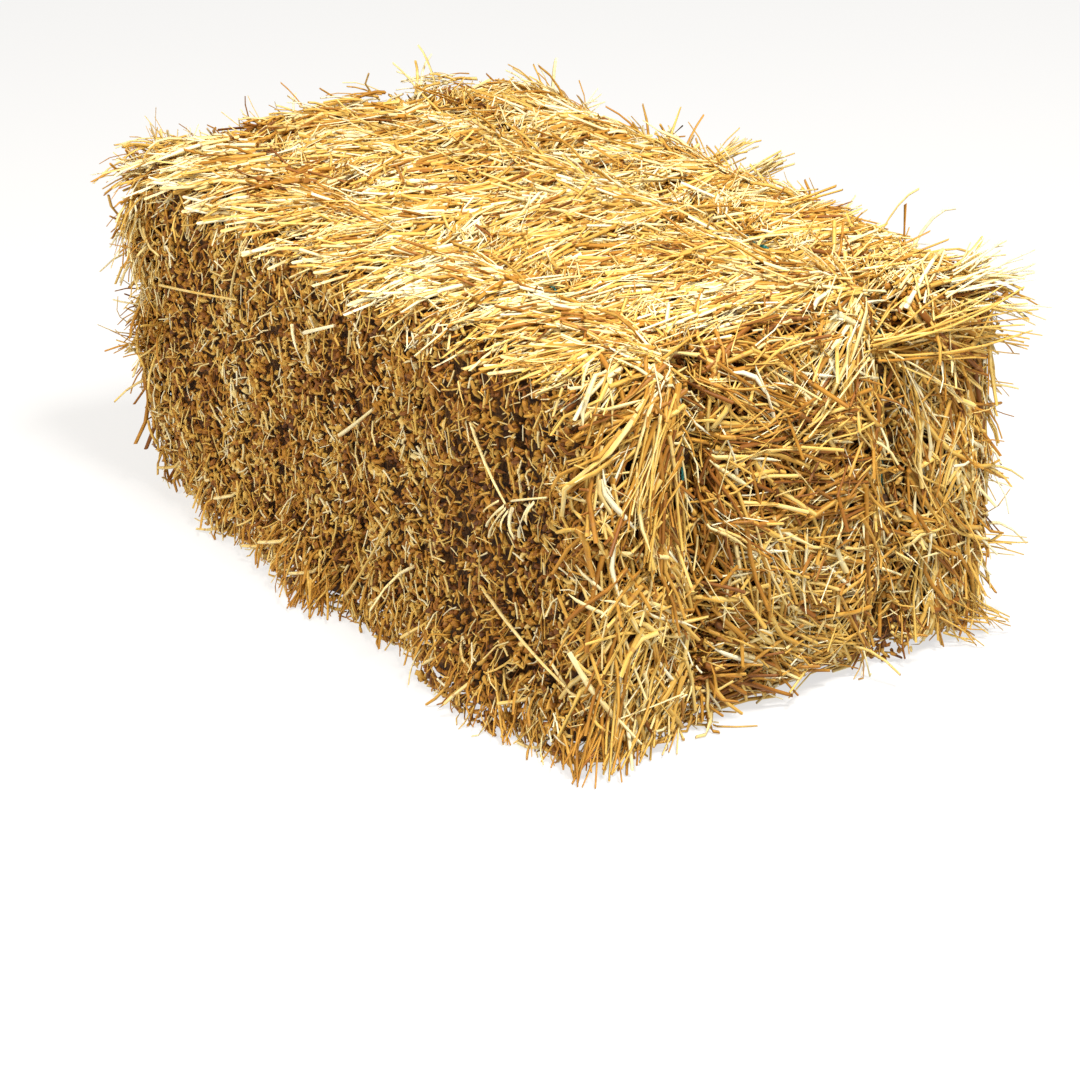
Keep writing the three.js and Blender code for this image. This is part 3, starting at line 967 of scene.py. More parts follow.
# %% Kinds of straw
# The fill's dark tones are partly the crushed straw's own brown and partly painted shade, for the gaps
# between the stems where it shows.
FILL = values(
    sides=3, rings=3, thickness=(1.0, 2.4), length=(30, 90), height=(-13, -3), tone=(0.0, 0.45),
    crossing=0.3, stem_spread=0.3,
)
STEMS = values(
    sides=4, rings=4, thickness=(1.0, 2.6), length=(40, 140), height=(-5, 11), tone=(0.22, 0.90),
    crossing=0.15, stem_spread=0.18, lock_tone=0.3,
)
WISPS = values(
    sides=3, rings=3, thickness=(0.4, 1.1), length=(20, 90), height=(-2, 13), tone=(0.45, 1.0),
    crossing=0.3, stem_spread=0.5,
)
LEAVES = values(
    sides=4, rings=5, thickness=(1.3, 2.6), length=(26, 90), height=(2, 12), tone=(0.6, 1.0),
    crossing=0.4, stem_spread=0.6, flatness=0.25, pointed=0.8, bend=0.12, kink=0.6, lock_spread=1.2,
)
# Deeper and darker still on the ends: partly painted shade for the gaps there.
END_FILL = values(FILL, height=(-20, -7), tone=(0.0, 0.38))
END_STEMS = values(
    STEMS, thickness=(1.1, 3.1), length=(30, 120), tone=(0.21, 0.79), crossing=0.35, kink=0.9,
    bend=0.12, lock_tone=0.25,
)
TOP_STEMS = values(STEMS, tone=(0.23, 0.97), crossing=0.22, kink=0.5, bend=0.35)
KNUCKLES = values(
    sides=4, rings=4, thickness=(2.1, 4.0), length=(7, 15), height=(-6, 1), tone=(0.10, 0.62),
    crossing=0.6, stem_spread=1.0, rooted=1.0, pointed=0.9, follow=0.0, lift=(0.5, 1.5), droop=0.9,
    kink=0.6, bend=1.0, loose=0.0,
)
BENT_STUBS = values(
    sides=4, rings=3, thickness=(1.2, 2.6), length=(6, 15), height=(-6, 2), tone=(0.05, 0.72),
    crossing=0.6, stem_spread=1.2, rooted=1.0, follow=0.0, lift=(0.2, 1.4), droop=0.6, kink=0.8,
    bend=1.0, loose=0.0,
)
SPLINTERS = values(
    sides=3, rings=3, thickness=(0.6, 1.6), length=(7, 28), height=(-2, 6), tone=(0.35, 0.95),
    crossing=0.7, stem_spread=0.8, rooted=0.6, follow=0.3, lift=(-0.1, 0.6), kink=0.5, bend=0.3,
    loose=0.0,
)
CHAFF = values(SPLINTERS, length=(7, 42), height=(0, 8), lift=(-0.1, 0.9), tone=(0.5, 1.0))
TUFTS = values(
    sides=4, rings=4, thickness=(0.6, 2.2), length=(25, 70), height=(-6, 6), tone=(0.35, 1.0),
    crossing=0.15, stem_spread=0.3, rooted=0.9, follow=0.1, droop=0.3, bend=0.4, kink=0.8, loose=0.0,
)
FOOT_TUFTS = values(TUFTS, thickness=(0.8, 2.2), length=(25, 48), tone=(0.15, 0.8))
print("a stem on top is up to", TOP_STEMS["Longest"], "m long")

# %% Sides of the bale
TOP_SLANT = math.radians(-10)
TOP = values(
    facing=(0.0, 0.0, 1.0), facing_limit=0.75, follow=0.72, knife=-236, square=50,
    grain=(math.cos(TOP_SLANT), math.sin(TOP_SLANT), 0.0), lock_size=60, lock_spread=0.75, loose=0.25,
)
CUT_SIDE = values(
    facing=(-1.0, 0.0, 0.0), facing_limit=0.6, grain=(0.0, 0.0, -1.0), rise=5, lock_size=22,
    lock_spread=1.3, lock_tone=0.30,
)
FOLDED_SIDE = values(
    facing=(1.0, 0.0, 0.0), facing_limit=0.6, grain=(0.0, 0.25, 0.97), rise=-4, lock_size=55,
    lock_spread=0.5, loose=0.2,
)
UNDERSIDE = values(
    facing=(0.0, 0.0, -1.0), facing_limit=0.8, grain=(1.0, 0.2, 0.0), lock_size=60, lock_spread=0.6,
    loose=0.0,
)
CUT_FOOT = values(
    facing=(-0.9, -0.1, -0.1), facing_limit=0.5, below=60, patchy=0.5, grain=(0.0, 0.0, -1.0),
    lift=(0.35, 1.1), lock_size=34, lock_spread=0.5,
)
CUT_RIM = values(
    facing=(-0.7, 0.0, 0.7), facing_limit=0.82, patchy=0.35, grain=(-1.0, 0.0, 0.0), lock_size=30,
    lock_spread=1.5,
)
FAR_CORNER = values(
    facing=(-0.55, 0.5, 0.67), facing_limit=0.8, grain=(-1.0, 0.4, 0.2), lift=(0.2, 0.8), rise=12,
    lock_size=30, lock_spread=1.2,
)
FAR_EDGE = values(
    facing=(-0.75, 0.65, 0.0), facing_limit=0.8, above=150, patchy=0.4, grain=(0.0, 0.0, -1.0),
    lift=(0.2, 1.2), rise=9, lock_size=26, lock_spread=2.0,
)
FAR_RIM = values(
    facing=(-0.2, 0.7, 0.7), facing_limit=0.8, patchy=0.42, grain=(-1.0, 0.3, 0.3), lift=(0.1, 0.8),
    lock_size=34, lock_spread=0.8, tilt=(-0.08, 0.0, 0.0),
)
FAR_RIM_LEFT = values(FAR_RIM, right=-40, rise=11, patchy=0.35)
FAR_RIM_RIGHT = values(FAR_RIM, left=84, grain=(0.5, 0.3, 0.4), lock_spread=0.6)
FOLD_RIM = values(
    facing=(0.7, -0.1, 0.7), facing_limit=0.87, patchy=0.50, grain=(1.0, -0.5, 0.0), lift=(0.15, 0.6),
    lock_size=40, lock_spread=0.35,
)
NEAR_FOOT = values(
    facing=(-0.5, -0.8, -0.1), facing_limit=0.6, below=60, right=-110, patchy=0.42,
    grain=(-0.3, 0.0, -1.0), lift=(0.15, 0.8), lock_size=34, lock_spread=0.7,
)
NEAR_EDGE = values(
    facing=(0.7, -0.7, 0.0), facing_limit=0.8, patchy=0.48, grain=(0.3, 0.0, -1.0), lift=(0.2, 0.9),
    lock_size=34, lock_spread=1.0,
)
print("the stems on top lie", round(math.degrees(TOP_SLANT)), "degrees from the bale's width")

# %% The two ends, where the stems fan out from the notches
TWINE_ACROSS = {"twine_cut_side": -114 * MM, "twine_folded_side": 104 * MM}
TWINE_HIGH = 348 * MM
NOTCH_OUT = 0.4


def end_face(way):
    """The end of the bale on the side where Y has that sign."""
    notches = [(across, way * NOTCH_OUT, TWINE_HIGH) for across in TWINE_ACROSS.values()]
    return values(
        dict(zip(NOTCHES, notches)), facing=(0.0, float(way), 0.0), facing_limit=0.7,
        grain=(1.0, 0.0, -0.2), lock_size=36, lock_spread=0.9, loose=0.3, parting=8, steep=1.0,
        tuck=END_TUCK, bite=32, tilt=(-0.03, 0.0, 0.0), fan=1.2, fan_reach=0.2,
    )


NEAR_END, FAR_END = end_face(-1), end_face(1)
print("the notches are", NOTCH_OUT, "m from the middle")

# %% Which layers a flake gets, with the number of stems on a square metre
SIDE_LAYERS = (
    ("top fill", TOP, FILL, 7400),
    ("top stems", TOP, TOP_STEMS, 11500),
    ("top wisps", TOP, WISPS, 8000),
    ("top leaves", TOP, LEAVES, 900),
    ("cut knuckles", CUT_SIDE, KNUCKLES, 19000),
    ("cut stubs", CUT_SIDE, BENT_STUBS, 14000),
    ("cut splinters", CUT_SIDE, SPLINTERS, 9000),
    ("folded fill", FOLDED_SIDE, FILL, 6000),
    ("folded stems", FOLDED_SIDE, STEMS, 7500),
    ("folded leaves", FOLDED_SIDE, LEAVES, 700),
    ("underside stems", UNDERSIDE, FILL, 4500),
    ("foot tufts", CUT_FOOT, FOOT_TUFTS, 13000),
    ("cut rim chaff", CUT_RIM, CHAFF, 26000),
    ("folded rim tufts", FOLD_RIM, TUFTS, 16000),
)
END_LAYERS = (
    ("end fill", END_FILL, 9000),
    ("end stems", END_STEMS, 14000),
    ("end wisps", WISPS, 7000),
    ("end leaves", LEAVES, 1300),
)
EDGE_LAYERS = {
    FLAKES[0]: (
        ("near edge tufts", NEAR_EDGE, TUFTS, 10000),
        ("near foot tufts", NEAR_FOOT, TUFTS, 13000),
    ),
    FLAKES[-1]: (
        ("far edge tufts", FAR_EDGE, TUFTS, 30000),
        ("far rim tufts on the left", FAR_RIM_LEFT, TUFTS, 12000),
        ("far rim tufts on the right", FAR_RIM_RIGHT, TUFTS, 12000),
        ("far corner tufts", FAR_CORNER, TUFTS, 26000),
    ),
}


def layers_of(name):
    """Every layer of one flake: the sides for all of them, and more for the first and the last."""
    layers = list(SIDE_LAYERS)
    if name in EDGE_LAYERS:
        side = NEAR_END if name == FLAKES[0] else FAR_END
        layers += [(title, side, kind, density) for title, kind, density in END_LAYERS]
        layers += EDGE_LAYERS[name]
    return layers


print([len(layers_of(name)) for name in FLAKES], "layers")

# %% What is special to one flake
RIM_HEAPS = {"flake_01": 0.0, "flake_02": 0.3, "flake_07": 0.36, "flake_08": 0.36, "flake_09": 0.36}
HEAP_LENGTH = 90 * MM
FOOT_HEAP = 5 * MM
FOOT_PATCHY = 0.35
EVERYWHERE = 1.0
SEAM = 2.5 * MM
FLAKE_TONE = 0.06
FAR_TILT = -0.08
FAR_TILT_FROM = 10 * MM
FAR_TILT_TO = 0.4
SIDE_FIRST = ("Facing", "Facing Limit", "Grain", "Patchy")
SEED_START, SEED_STEP = 17, 211


def of_flake(name, side, kind):
    """A flake's room, its tone where it is sheared, and where straw heaps up."""
    low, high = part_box(name)
    seam = SEAM if side is CUT_SIDE else 0.0
    made = {
        "From": (side.get("Left", -EVERYWHERE), low.y + seam, side.get("Above", -EVERYWHERE)),
        "To": (side.get("Right", EVERYWHERE), high.y - seam, EVERYWHERE),
    }
    heap = FOOT_HEAPS[name] * MM
    if side is CUT_SIDE:
        change = np.random.default_rng(FLAKES.index(name)).uniform(-FLAKE_TONE, FLAKE_TONE)
        made |= {key: kind[key] + change for key in ("Darkest", "Palest")}
    if side in (CUT_SIDE, CUT_FOOT):
        made["Skirt"] = heap
    if side is CUT_FOOT and heap > FOOT_HEAP:
        made["Patchy"] = FOOT_PATCHY
    if side is FOLD_RIM and name in RIM_HEAPS:
        made |= {"Longest": HEAP_LENGTH, "Patchy": RIM_HEAPS[name]}
    if side is TOP:
        lean = FAR_TILT * max(0.0, (low.y + high.y) / 2 / FAR_TILT_TO) ** 3
        made |= {"Tilt": (lean, 0.0, 0.0), "Rise": -lean * FAR_TILT_FROM}
    return made


def grow_layers(thing, name):
    for count, (title, side, kind, density) in enumerate(layers_of(name)):
        first = {key: side[key] for key in SIDE_FIRST if key in side}
        made = {
            **side, **kind, **first, **of_flake(name, side, kind), "Guide": guide, "Material": STRAW,
            "Density": float(density), "Seed": count * SEED_STEP + SEED_START,
        }
        known = {key: value for key, value in made.items() if key in LAYER_INPUTS}
        add_tree(thing, LAYER, title, **known)


print(len(RIM_HEAPS), "flakes have a heap on the folded rim")

# %% [markdown]
# ## Single stems that one remembers
#
# Some stems stand out from the rest: the few that stick out past the edges, which the solids have
# too, long ones that lie loose on the sheared side and the near end, and clumps that fan out at the
# corners. They are given one by one. Each stem is a short list of points, and a second tree turns
# the lists into stems with the same sweep.

# %% Stems that stick out, in millimetres, from the root to the tip
STRAYS = (
    ((-216, 388, 160), (-272, 404, 160)),
    ((-216, 388, 122), (-270, 396, 106)),
    ((-216, -140, 96), (-275, -124, 60)),
    ((-20, 388, 362), (-46, 404, 404)),
    ((128, 380, 372), (121, 402, 418)),
    ((214, 288, 366), (226, 296, 404)),
    ((196, 40, 350), (238, 52, 394)),
    ((204, -262, 352), (232, -286, 400)),
    ((206, -306, 350), (248, -318, 386)),
    ((214, -388, 338), (290, -402, 310)),
    ((216, -390, 162), (264, -402, 144)),
    ((216, -388, 102), (270, -402, 78)),
    ((222, 150, 190), (290, 162, 172)),
    ((60, -392, 30), (84, -448, 14)),
    ((-180, -390, 40), (-206, -440, 8)),
    ((-60, 384, 326), (-96, 446, 352)),
    ((150, 384, 120), (128, 446, 96)),
)
STRAY_REACH = (275, 446, 415)

# %% Loose stems that lie on the bale: thickness, tone, and points in millimetres
LOOSE_STEMS = (
    (3.0, 0.88, (-240, -26, 194), (-243, -60, 216), (-242, -94, 241)),
    (1.8, 0.85, (-238, -254, 276), (-245, -286, 250), (-247, -319, 224)),
    (2.3, 0.94, (-241, -307, 217), (-249, -299, 206), (-249, -291, 195)),
    (2.1, 0.92, (-241, -310, 216), (-249, -302, 201), (-249, -294, 186)),
    (1.6, 0.85, (-241, -299, 219), (-249, -293, 213), (-249, -287, 207)),
    (2.0, 0.95, (-241, -320, 219), (-249, -327, 208), (-249, -334, 198)),
    (1.4, 0.90, (-241, -313, 214), (-249, -314, 206), (-249, -315, 197)),
    (2.2, 0.93, (-241, -348, 232), (-249, -345, 217), (-249, -342, 202)),
    (1.8, 0.88, (-241, -354, 236), (-249, -354, 227), (-249, -355, 218)),
    (1.5, 0.86, (-241, -320, 226), (-249, -352, 240), (-247, -384, 252)),
    (1.2, 0.70, (-236, -270, 205), (-241, -263, 151), (-238, -257, 110)),
    (2.0, 0.80, (-237, -261, 121), (-243, -331, 99), (-240, -392, 78)),
    (2.2, 0.72, (-238, -6, 18), (-243, -58, 68), (-239, -114, 143)),
    (1.8, 0.72, (-238, 331, 244), (-244, 238, 262), (-240, 161, 275)),
    (2.8, 0.97, (-239, 31, 278), (-243, 1, 290), (-240, -29, 302)),
    (1.8, 0.95, (-238, 57, 278), (-242, 47, 264), (-239, 42, 248)),
    (1.8, 0.75, (-238, 137, 340), (-243, 156, 305), (-239, 176, 271)),
    (2.2, 0.80, (-236, -359, 63), (-242, -356, 40), (-238, -353, 12)),
    (2.8, 0.97, (-52, -413, 330), (-42, -418, 300), (-32, -414, 270)),
    (2.4, 0.97, (-91, -411, 292), (-81, -419, 260), (-72, -412, 228)),
    (2.2, 0.93, (-73, -412, 224), (-65, -418, 170), (-69, -412, 119)),
    (1.9, 0.70, (6, -411, 189), (34, -417, 158), (-5, -411, 140)),
    (2.4, 0.80, (-152, -408, 329), (-177, -419, 295), (-195, -413, 228)),
    (2.3, 0.78, (-158, -410, 264), (-175, -418, 186), (-214, -411, 124)),
    (2.4, 0.90, (110, -410, 299), (134, -418, 237), (141, -412, 188)),
    (2.0, 0.82, (-189, -410, 79), (-202, -420, 40), (-218, -424, 6)),
    (2.2, 0.80, (118, 384, 358), (104, 398, 384), (92, 408, 400)),
    (1.8, 0.90, (112, 386, 360), (122, 398, 386), (138, 404, 402)),
    (2.0, 0.70, (104, 388, 358), (118, 402, 380), (126, 418, 394)),
    (1.6, 0.85, (124, 388, 360), (112, 400, 380), (100, 414, 388)),
    (1.9, 0.80, (-12, 386, 352), (-24, 398, 374), (-38, 406, 388)),
    (1.7, 0.90, (-30, 388, 352), (-36, 398, 372), (-30, 402, 390)),
    (1.8, 0.75, (-14, 388, 352), (-28, 402, 368), (-48, 414, 378)),
    (1.9, 0.82, (76, -220, 364), (99, -228, 367), (124, -233, 365)),
    (1.7, 0.78, (84, -238, 364), (101, -226, 366), (118, -219, 364)),
    (1.9, 0.84, (-136, -198, 363), (-114, -205, 366), (-90, -210, 365)),
)
print(len(STRAYS), "stems stick out and", len(LOOSE_STEMS), "lie loose")

# %% Clumps at the edges: stems, thickness, tone, root, tip, and how wide they spread at each
CLUMPS = (
    (24, 1.9, 0.58, (82, -404, 316), (214, -412, 326), 8, 40),
    (9, 1.8, 0.54, (84, -404, 310), (192, -412, 290), 6, 24),
    (12, 1.6, 0.92, (173, -392, 350), (258, -402, 350), 12, 14),
    (4, 1.5, 0.95, (190, -392, 358), (234, -396, 378), 6, 6),
    (10, 1.6, 0.80, (190, -396, 328), (266, -408, 312), 12, 14),
    (9, 1.5, 0.62, (192, -398, 300), (252, -408, 282), 14, 12),
    (14, 1.6, 0.62, (190, -398, 44), (233, -410, 12), 16, 14),
    (7, 1.5, 0.66, (205, -398, 99), (256, -404, 80), 12, 12),
    (5, 1.4, 0.70, (213, -398, 165), (244, -404, 146), 12, 10),
    (5, 1.5, 0.72, (208, -398, 255), (240, -404, 238), 14, 10),
    (18, 1.9, 0.50, (-170, -400, 96), (-226, -430, 6), 40, 20),
    (16, 1.8, 0.36, (-206, -398, 66), (-248, -418, 6), 30, 16),
    (8, 1.7, 0.46, (-146, -400, 60), (-186, -430, 8), 36, 16),
    (5, 1.5, 0.60, (-122, -400, 34), (-158, -424, 4), 12, 10),
    (10, 1.5, 0.74, (-189, 388, 344), (-200, 402, 388), 14, 14),
    (10, 1.5, 0.68, (-208, 388, 340), (-226, 404, 372), 12, 12),
    (7, 1.4, 0.80, (-152, 388, 344), (-156, 402, 374), 12, 12),
    (16, 2.0, 0.80, (202, 26, 344), (240, -16, 382), 14, 12),
    (16, 2.0, 0.80, (202, -30, 340), (242, -70, 376), 14, 12),
    (6, 1.5, 0.80, (208, 250, 350), (236, 230, 374), 12, 10),
    (6, 1.5, 0.78, (204, -172, 342), (238, -190, 362), 12, 8),
    (14, 1.8, 0.44, (-234, 62, 40), (-266, 38, 4), 20, 14),
    (14, 1.8, 0.44, (-234, 32, 38), (-262, 8, 4), 20, 14),
    (18, 1.8, 0.42, (-234, -286, 36), (-258, -322, 4), 22, 16),
    (12, 1.7, 0.40, (-234, -366, 46), (-248, -400, 4), 22, 14),
    (12, 1.6, 0.58, (174, -400, 34), (202, -416, 3), 24, 18),
    (22, 1.8, 0.80, (188, -370, 344), (238, -374, 357), 22, 20),
    (8, 1.5, 0.74, (-76, 388, 348), (-92, 402, 381), 24, 16),
    (8, 1.5, 0.58, (-222, 388, 160), (-254, 402, 158), 16, 24),
    (10, 2.2, 0.66, (-156, -414, 312), (-186, -427, 242), 16, 14),
    (8, 2.0, 0.48, (-150, -414, 258), (-174, -426, 190), 18, 14),
    (5, 1.8, 0.66, (100, -405, 296), (128, -413, 196), 14, 16),
    (5, 1.8, 0.62, (100, -405, 300), (160, -413, 212), 14, 18),
    (4, 1.8, 0.74, (98, -405, 304), (182, -412, 246), 12, 16),
    (4, 1.8, 0.78, (66, -406, 300), (-2, -414, 232), 14, 14),
    (4, 1.7, 0.70, (70, -406, 306), (-26, -414, 268), 14, 14),
)
CLUMP_SEED = 41
CLUMP_THIN = 0.55
CLUMP_TONE = 0.16
print(len(CLUMPS), "clumps at the edges")

# %% The routes of the single stems
ROUTE_STEPS = 5
STRAY_THICK = 2.1 * MM
STRAY_WIDTHS = (0.8, 0.15)
STRAY_TONES = (0.45, 0.75, 0.9)
STRAY_BEND = 0.07


def arc(start, middle, end, steps=ROUTE_STEPS):
    """Points on a curve that starts and ends at two points and passes by the middle one."""
    shares = [step / (steps - 1) for step in range(steps)]
    bow = middle * 2 - (start + end) / 2
    return [start * (1 - s) ** 2 + bow * (2 * s * (1 - s)) + end * s**2 for s in shares]


def within_reach(point):
    return Vector([max(-reach, min(reach, value)) for value, reach in zip(point, STRAY_REACH)]) * MM


def stray_routes():
    """The strays in three widths, tones and bends by turns."""
    least, more = STRAY_WIDTHS
    for number, (root, tip) in enumerate(STRAYS):
        start, end = Vector(root) * MM, within_reach(tip)
        turn = number % len(STRAY_TONES)
        bow = Vector((0, 0, 1)) * (end - start).length * STRAY_BEND * (1 + turn)
        width = STRAY_THICK * (least + more * turn)
        yield width, STRAY_TONES[turn], start, (start + end) / 2 + bow, end


def loose_routes():
    for thick, tone, *points in LOOSE_STEMS:
        yield (thick * MM, tone, *(Vector(point) * MM for point in points))


def clump_routes():
    """The stems of each clump, fanned out from its root to its tip."""
    rng = np.random.default_rng(CLUMP_SEED)
    for count, thick, tone, root, tip, at_root, at_tip in CLUMPS:
        for _ in range(count):
            start = Vector(root + rng.normal(0, 0.5, 3) * at_root) * MM
            end = Vector(tip + rng.normal(0, 0.5, 3) * at_tip) * MM
            bow = Vector(rng.normal(0, 0.5, 3)) * (end - start).length * STRAY_BEND
            end.z = max(end.z, thick * MM)
            width = thick * rng.uniform(CLUMP_THIN, 1.0) * MM
            pale = tone + rng.uniform(-CLUMP_TONE, CLUMP_TONE)
            yield width, pale, start, (start + end) / 2 + bow, end


ROUTES = [*stray_routes(), *loose_routes(), *clump_routes()]
print(len(ROUTES), "single stems")

# %% Routes as a mesh of edges
ROUTE_TAPER = 0.08


def edges_of(count, closed=False):
    """Edges from each of so many corners to the next."""
    return [(n, n + 1) for n in range(count - 1)] + ([(count - 1, 0)] if closed else [])


def routes_object(title, routes):
    """An object of plain edges, whose points know how thick and how pale their stem is."""
    corners, edges, thick, tones = [], [], [], []
    for width, tone, *points in routes:
        line = arc(*points)
        edges += [(len(corners) + a, len(corners) + b) for a, b in edges_of(len(line))]
        corners += line
        thick += [width * (1 - ROUTE_TAPER * n) for n in range(len(line))]
        tones += [tone] * len(line)
    mesh = bpy.data.meshes.new(title)
    mesh.from_pydata(corners, edges, [])
    for name, numbers in (("thick", thick), ("pale", tones)):
        mesh.attributes.new(name, "FLOAT", "POINT").data.foreach_set("value", numbers)
    return hidden(linked(title, mesh))


# %% The tree that makes single stems
SINGLE_INPUTS = {
    "Piece": "Geometry", "Routes": "Object", "Sides": 5, "Flatness": 0.8, "Material": "Material",
}
STEM_STEP = 0.2


def single_stems_tree():
    tree = new_tree("single stems")
    given = take_inputs(tree, SINGLE_INPUTS)
    routes = {"Mesh": tree.shape_of(given["Routes"])}
    named = "GeometryNodeInputNamedAttribute"
    mesh = swept(tree, {
        "Curve": tree.wire("GeometryNodeMeshToCurve", "Curve", routes),
        "Radius": tree.wire(named, "Attribute", {"Name": "thick"}, data_type="FLOAT"),
        "Tone": tree.wire(named, "Attribute", {"Name": "pale"}, data_type="FLOAT"),
        "Along": tree.wire("GeometryNodeSplineParameter", "Length"),
        "Stem": tree.read("Index") * STEM_STEP,
        **{name: given[name] for name in ("Flatness", "Sides", "Material")},
    })
    return tree.output(Piece=("Geometry", tree.real(mesh, given["Piece"])))


SINGLE_STEMS = single_stems_tree()
print("made the tree", SINGLE_STEMS.name)


def add_single_stems(thing, name):
    """Gives a flake the single stems whose roots are in it. Returns the object with their routes."""
    low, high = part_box(name)
    inside = [route for route in ROUTES if low.y <= route[2].y < high.y]
    routes = routes_object(name + " routes", inside)
    add_tree(thing, SINGLE_STEMS, "single stems", Routes=routes, Material=STRAW)
    return routes


# %% [markdown]
# ## A flat map of each piece
#
# Each piece gets a flat map of its own. Blender's own unwrapping is slow on thousands of small stems.
# Here every face simply gets a square of its own on a grid, which is quick, fills the map and never
# overlaps.

# %% One square for each face
BAKE_MAP = "OFBake"
SQUARE_FILL = 0.42
OTHER_FILL = SQUARE_FILL + 0.04


def add_bake_map(mesh):
    faces = len(mesh.polygons)
    grid = math.ceil(math.sqrt(faces))
    start, count = np.empty((2, faces), np.int32)
    mesh.polygons.foreach_get("loop_start", start)
    mesh.polygons.foreach_get("loop_total", count)
    face = np.repeat(np.arange(faces), count)
    corner = np.arange(len(face)) - start[face]
    angle = (corner + 0.5) * 2 * np.pi / count[face]
    radius = np.where(count[face] == 4, SQUARE_FILL * math.sqrt(2), OTHER_FILL)
    across = (face % grid + 0.5 + radius * np.cos(angle)) / grid
    upward = (face // grid + 0.5 + radius * np.sin(angle)) / grid
    layer = mesh.uv_layers.new(name=BAKE_MAP)
    layer.uv.foreach_set("vector", np.stack([across, upward], 1).ravel().astype(np.float32))


print("the map is called", BAKE_MAP)

# %% [markdown]
# ## The fourteen flakes
#
# Each flake gets its body, its layers of straw and its single stems as modifiers on one object. Their
# result becomes a plain mesh, which replaces the flake's solid and rides on the bale's one body.

# %% Fourteen flakes of straw


def settle(thing, node):
    """Turns the piece into a plain mesh that stands for its CAD node."""
    mesh = mesh_of(thing)
    plain(thing, mesh)
    mesh.name = thing.name
    add_bake_map(mesh)
    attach(thing, "root")
    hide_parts(node)
    triangles = sum(len(face.vertices) - 2 for face in mesh.polygons)
    print(thing.name, "has", triangles, "triangles")
    return triangles


total = 0
for name in FLAKES:
    flake = flake_body(name)
    grow_layers(flake, name)
    routes = add_single_stems(flake, name)
    total += settle(flake, name)
    bpy.data.objects.remove(routes)
bpy.data.objects.remove(guide)
print("straw:", total, "triangles")

# %% [markdown]
# ## Twine
#
# The twine is three plastic strands laid round each other. Its route is the one that the solids
# have: a flat loop round the bale with wide bends, sunk in the furrows. A tree follows the route,
# copies it three times, winds the copies round it and sweeps each one. The winding has a whole
# number of turns, so that the loop closes on itself. The knot is the same cord along a closed
# trefoil, with two tails.

# %% The finish of the twine
TWINE_TONES = (
    (0.25, (0.004, 0.060, 0.058)),
    (0.50, (0.014, 0.190, 0.175)),
    (0.75, (0.050, 0.360, 0.320)),
)
TWINE_STRETCH = 30.0
BROAD_SHARE, FINE_SHARE = 0.6, 0.4
TWINE_ROUGHNESS = (0.3, 0.3)
TWINE_RELIEF = (0.4, 0.2 * MM)


def twine_material():
    made, tree, surface = material("twine")
    broad, fine = streaks(tree, attribute(tree, "grain", "Vector"), TWINE_STRETCH)
    colour = colour_ramp(tree, broad * BROAD_SHARE + fine * FINE_SHARE, TWINE_TONES)
    cover(tree, surface, colour, fine, TWINE_ROUGHNESS, TWINE_RELIEF)
    return made


TWINE = twine_material()
print("made the material", TWINE.name)

# %% The tree that lays strands round a route
CORD_INPUTS = {
    "Route": "Geometry", "Strands": 3, "Strand Radius": 0.95 * MM, "Turns": 10.0, "Steps": 70,
    "Material": "Material",
}
STRAND_SWELL = 1.1


def cord_tree():
    tree = new_tree("laid cord")
    route, strands, radius, turns, steps, finish = take_inputs(tree, CORD_INPUTS).values()
    curve = tree.wire("GeometryNodeMeshToCurve", "Curve", {"Mesh": route})
    curve = tree.wire("GeometryNodeResampleCurve", "Curve", {"Curve": curve, "Count": steps})
    normal = tree.read("Normal")
    across = tree.read("Tangent").cross(normal)
    share, length = tree.wires("GeometryNodeSplineParameter", ("Factor", "Length"))
    fields = dict(normal=normal, across=across, share=share, length=length)
    curve, normal, across, share, length = tree.captured(curve, **fields)
    wound, strand = tree.copies(curve, strands, "SPLINE")
    angle = (share * turns + strand / strands) * math.tau
    outward = normal * angle.cosine() + across * angle.sine()
    mesh = swept(tree, {
        "Curve": tree.moved(wound, Offset=outward * radius), "Radius": radius * STRAND_SWELL,
        "Sides": 4, "Outward": outward, "Along": length, "Stem": strand, "Material": finish,
    })
    return tree.output(Piece=("Geometry", tree.coated(tree.real(mesh), finish)))


CORD = cord_tree()
print("made the tree", CORD.name)

# %% The routes: loop, knot and tails
TWINE_END = 391 * MM
TWINE_LOW = 5 * MM
TWINE_BEND = 52 * MM
BEND_STEPS = 8
TWINE_TURN = 16 * MM
STEPS_PER_TURN = 5
KNOT_ALONG = -210 * MM
KNOT_SIZE = 1.5 * MM
KNOT_STEPS = 48
KNOT_DEPTH = 1.4
KNOT_UP = 2 * MM
TAIL = 28 * MM
TAIL_UP = 3 * MM
TAIL_STEPS = 6
TAIL_ASIDE = 0.2
TAIL_RISE = 0.15
TAIL_BOW = 0.12


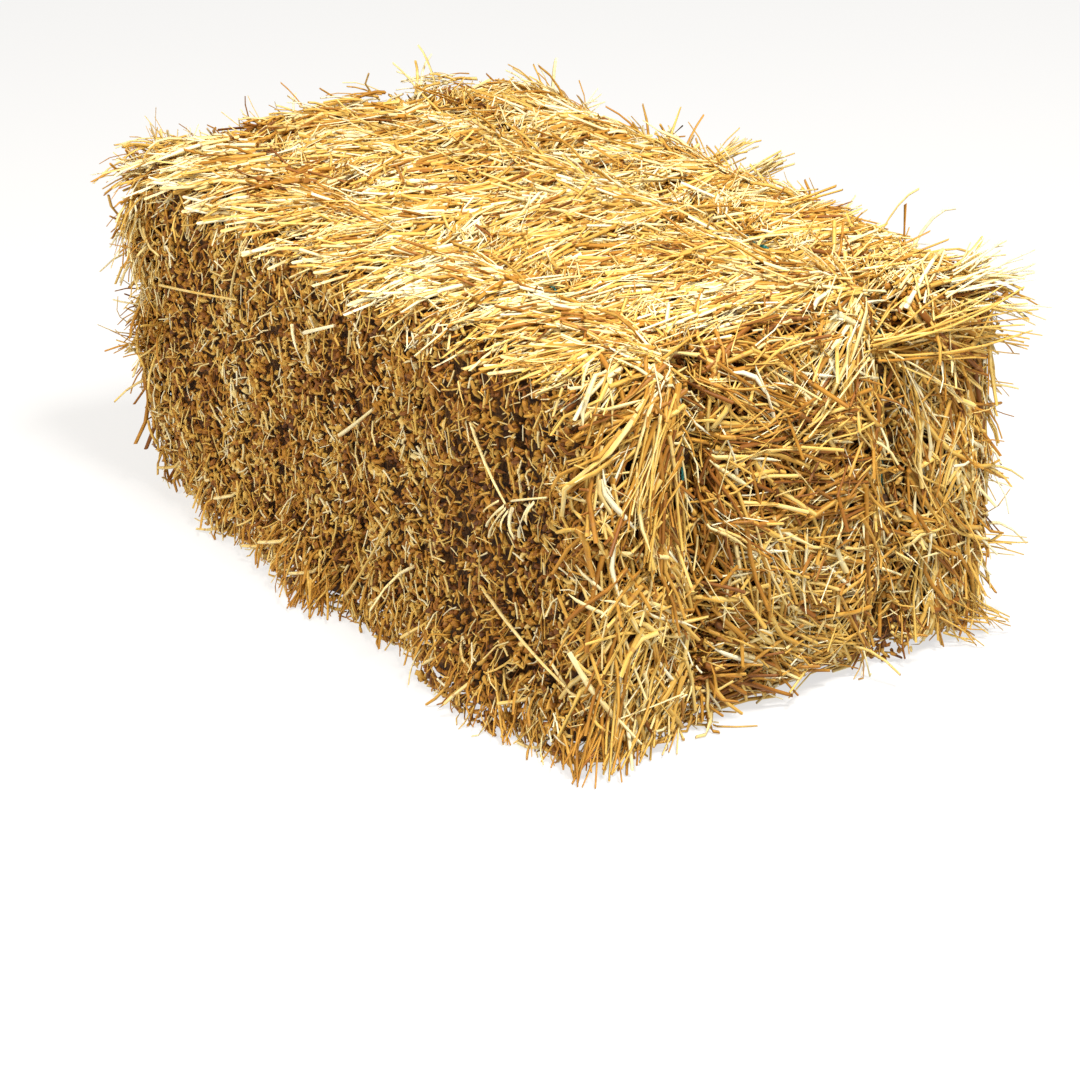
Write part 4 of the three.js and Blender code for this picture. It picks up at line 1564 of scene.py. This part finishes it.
def loop_route(across):
    """The corners of the loop, each as an arc of a quarter circle."""
    centre_y = TWINE_END - TWINE_BEND
    middle_z = (TWINE_HIGH + TWINE_LOW) / 2
    centre_z = (TWINE_HIGH - TWINE_LOW) / 2 - TWINE_BEND
    points = []
    for turn, (y, z) in enumerate([(1, -1), (1, 1), (-1, 1), (-1, -1)]):
        for step in range(BEND_STEPS + 1):
            angle = (turn - 1 + step / BEND_STEPS) * math.pi / 2
            run = TWINE_BEND * math.cos(angle) + y * centre_y
            points.append((across, run, middle_z + z * centre_z + TWINE_BEND * math.sin(angle)))
    return points, True


def knot_route(across):
    """A trefoil round the upper run."""
    points = []
    for step in range(KNOT_STEPS):
        t = step / KNOT_STEPS * math.tau
        x = math.sin(t) + 2 * math.sin(2 * t)
        y = math.cos(t) - 2 * math.cos(2 * t)
        z = -math.sin(3 * t) * KNOT_DEPTH
        up = TWINE_HIGH + KNOT_UP + z * KNOT_SIZE
        points.append((across + x * KNOT_SIZE, KNOT_ALONG + y * KNOT_SIZE, up))
    return points, True


def tail_route(across, way):
    """One end of the cord, which leaves the knot, rises and drops back on the straw."""
    start = Vector((across, KNOT_ALONG, TWINE_HIGH + TAIL_UP))
    reach = Vector((TAIL_ASIDE * way, way, TAIL_RISE)).normalized() * TAIL
    rise = Vector((0, 0, TAIL * TAIL_BOW))
    return arc(start, start + reach * 0.5 + rise, start + reach, TAIL_STEPS), False


def cord_piece(title, route):
    points, closed = route
    edges = edges_of(len(points), closed)
    mesh = bpy.data.meshes.new(title)
    mesh.from_pydata(points, edges, [])
    length = sum((Vector(points[a]) - Vector(points[b])).length for a, b in edges)
    turns = max(1, round(length / TWINE_TURN))
    thing = linked(title, mesh)
    steps = turns * STEPS_PER_TURN
    add_tree(thing, CORD, "laid cord", Turns=float(turns), Steps=steps, Material=TWINE)
    return thing


# %% Two loops of twine


def twine_piece(node, across):
    """The loop, the knot and the two tails as one mesh."""
    cord = cord_piece(node + "_cord", loop_route(across))
    parts = [cord, cord_piece("knot", knot_route(across))]
    parts += [cord_piece("tail", tail_route(across, way)) for way in (-1, 1)]
    whole = bmesh.new()
    for part in parts:
        whole.from_mesh(mesh_of(part))
    for part in parts[1:]:
        bpy.data.objects.remove(part)
    mesh = bpy.data.meshes.new(node)
    whole.to_mesh(mesh)
    whole.free()
    mesh.materials.append(TWINE)
    plain(cord, mesh)
    return cord


for node, across in TWINE_ACROSS.items():
    total += settle(twine_piece(node, across), node)
print("in all:", total, "triangles")
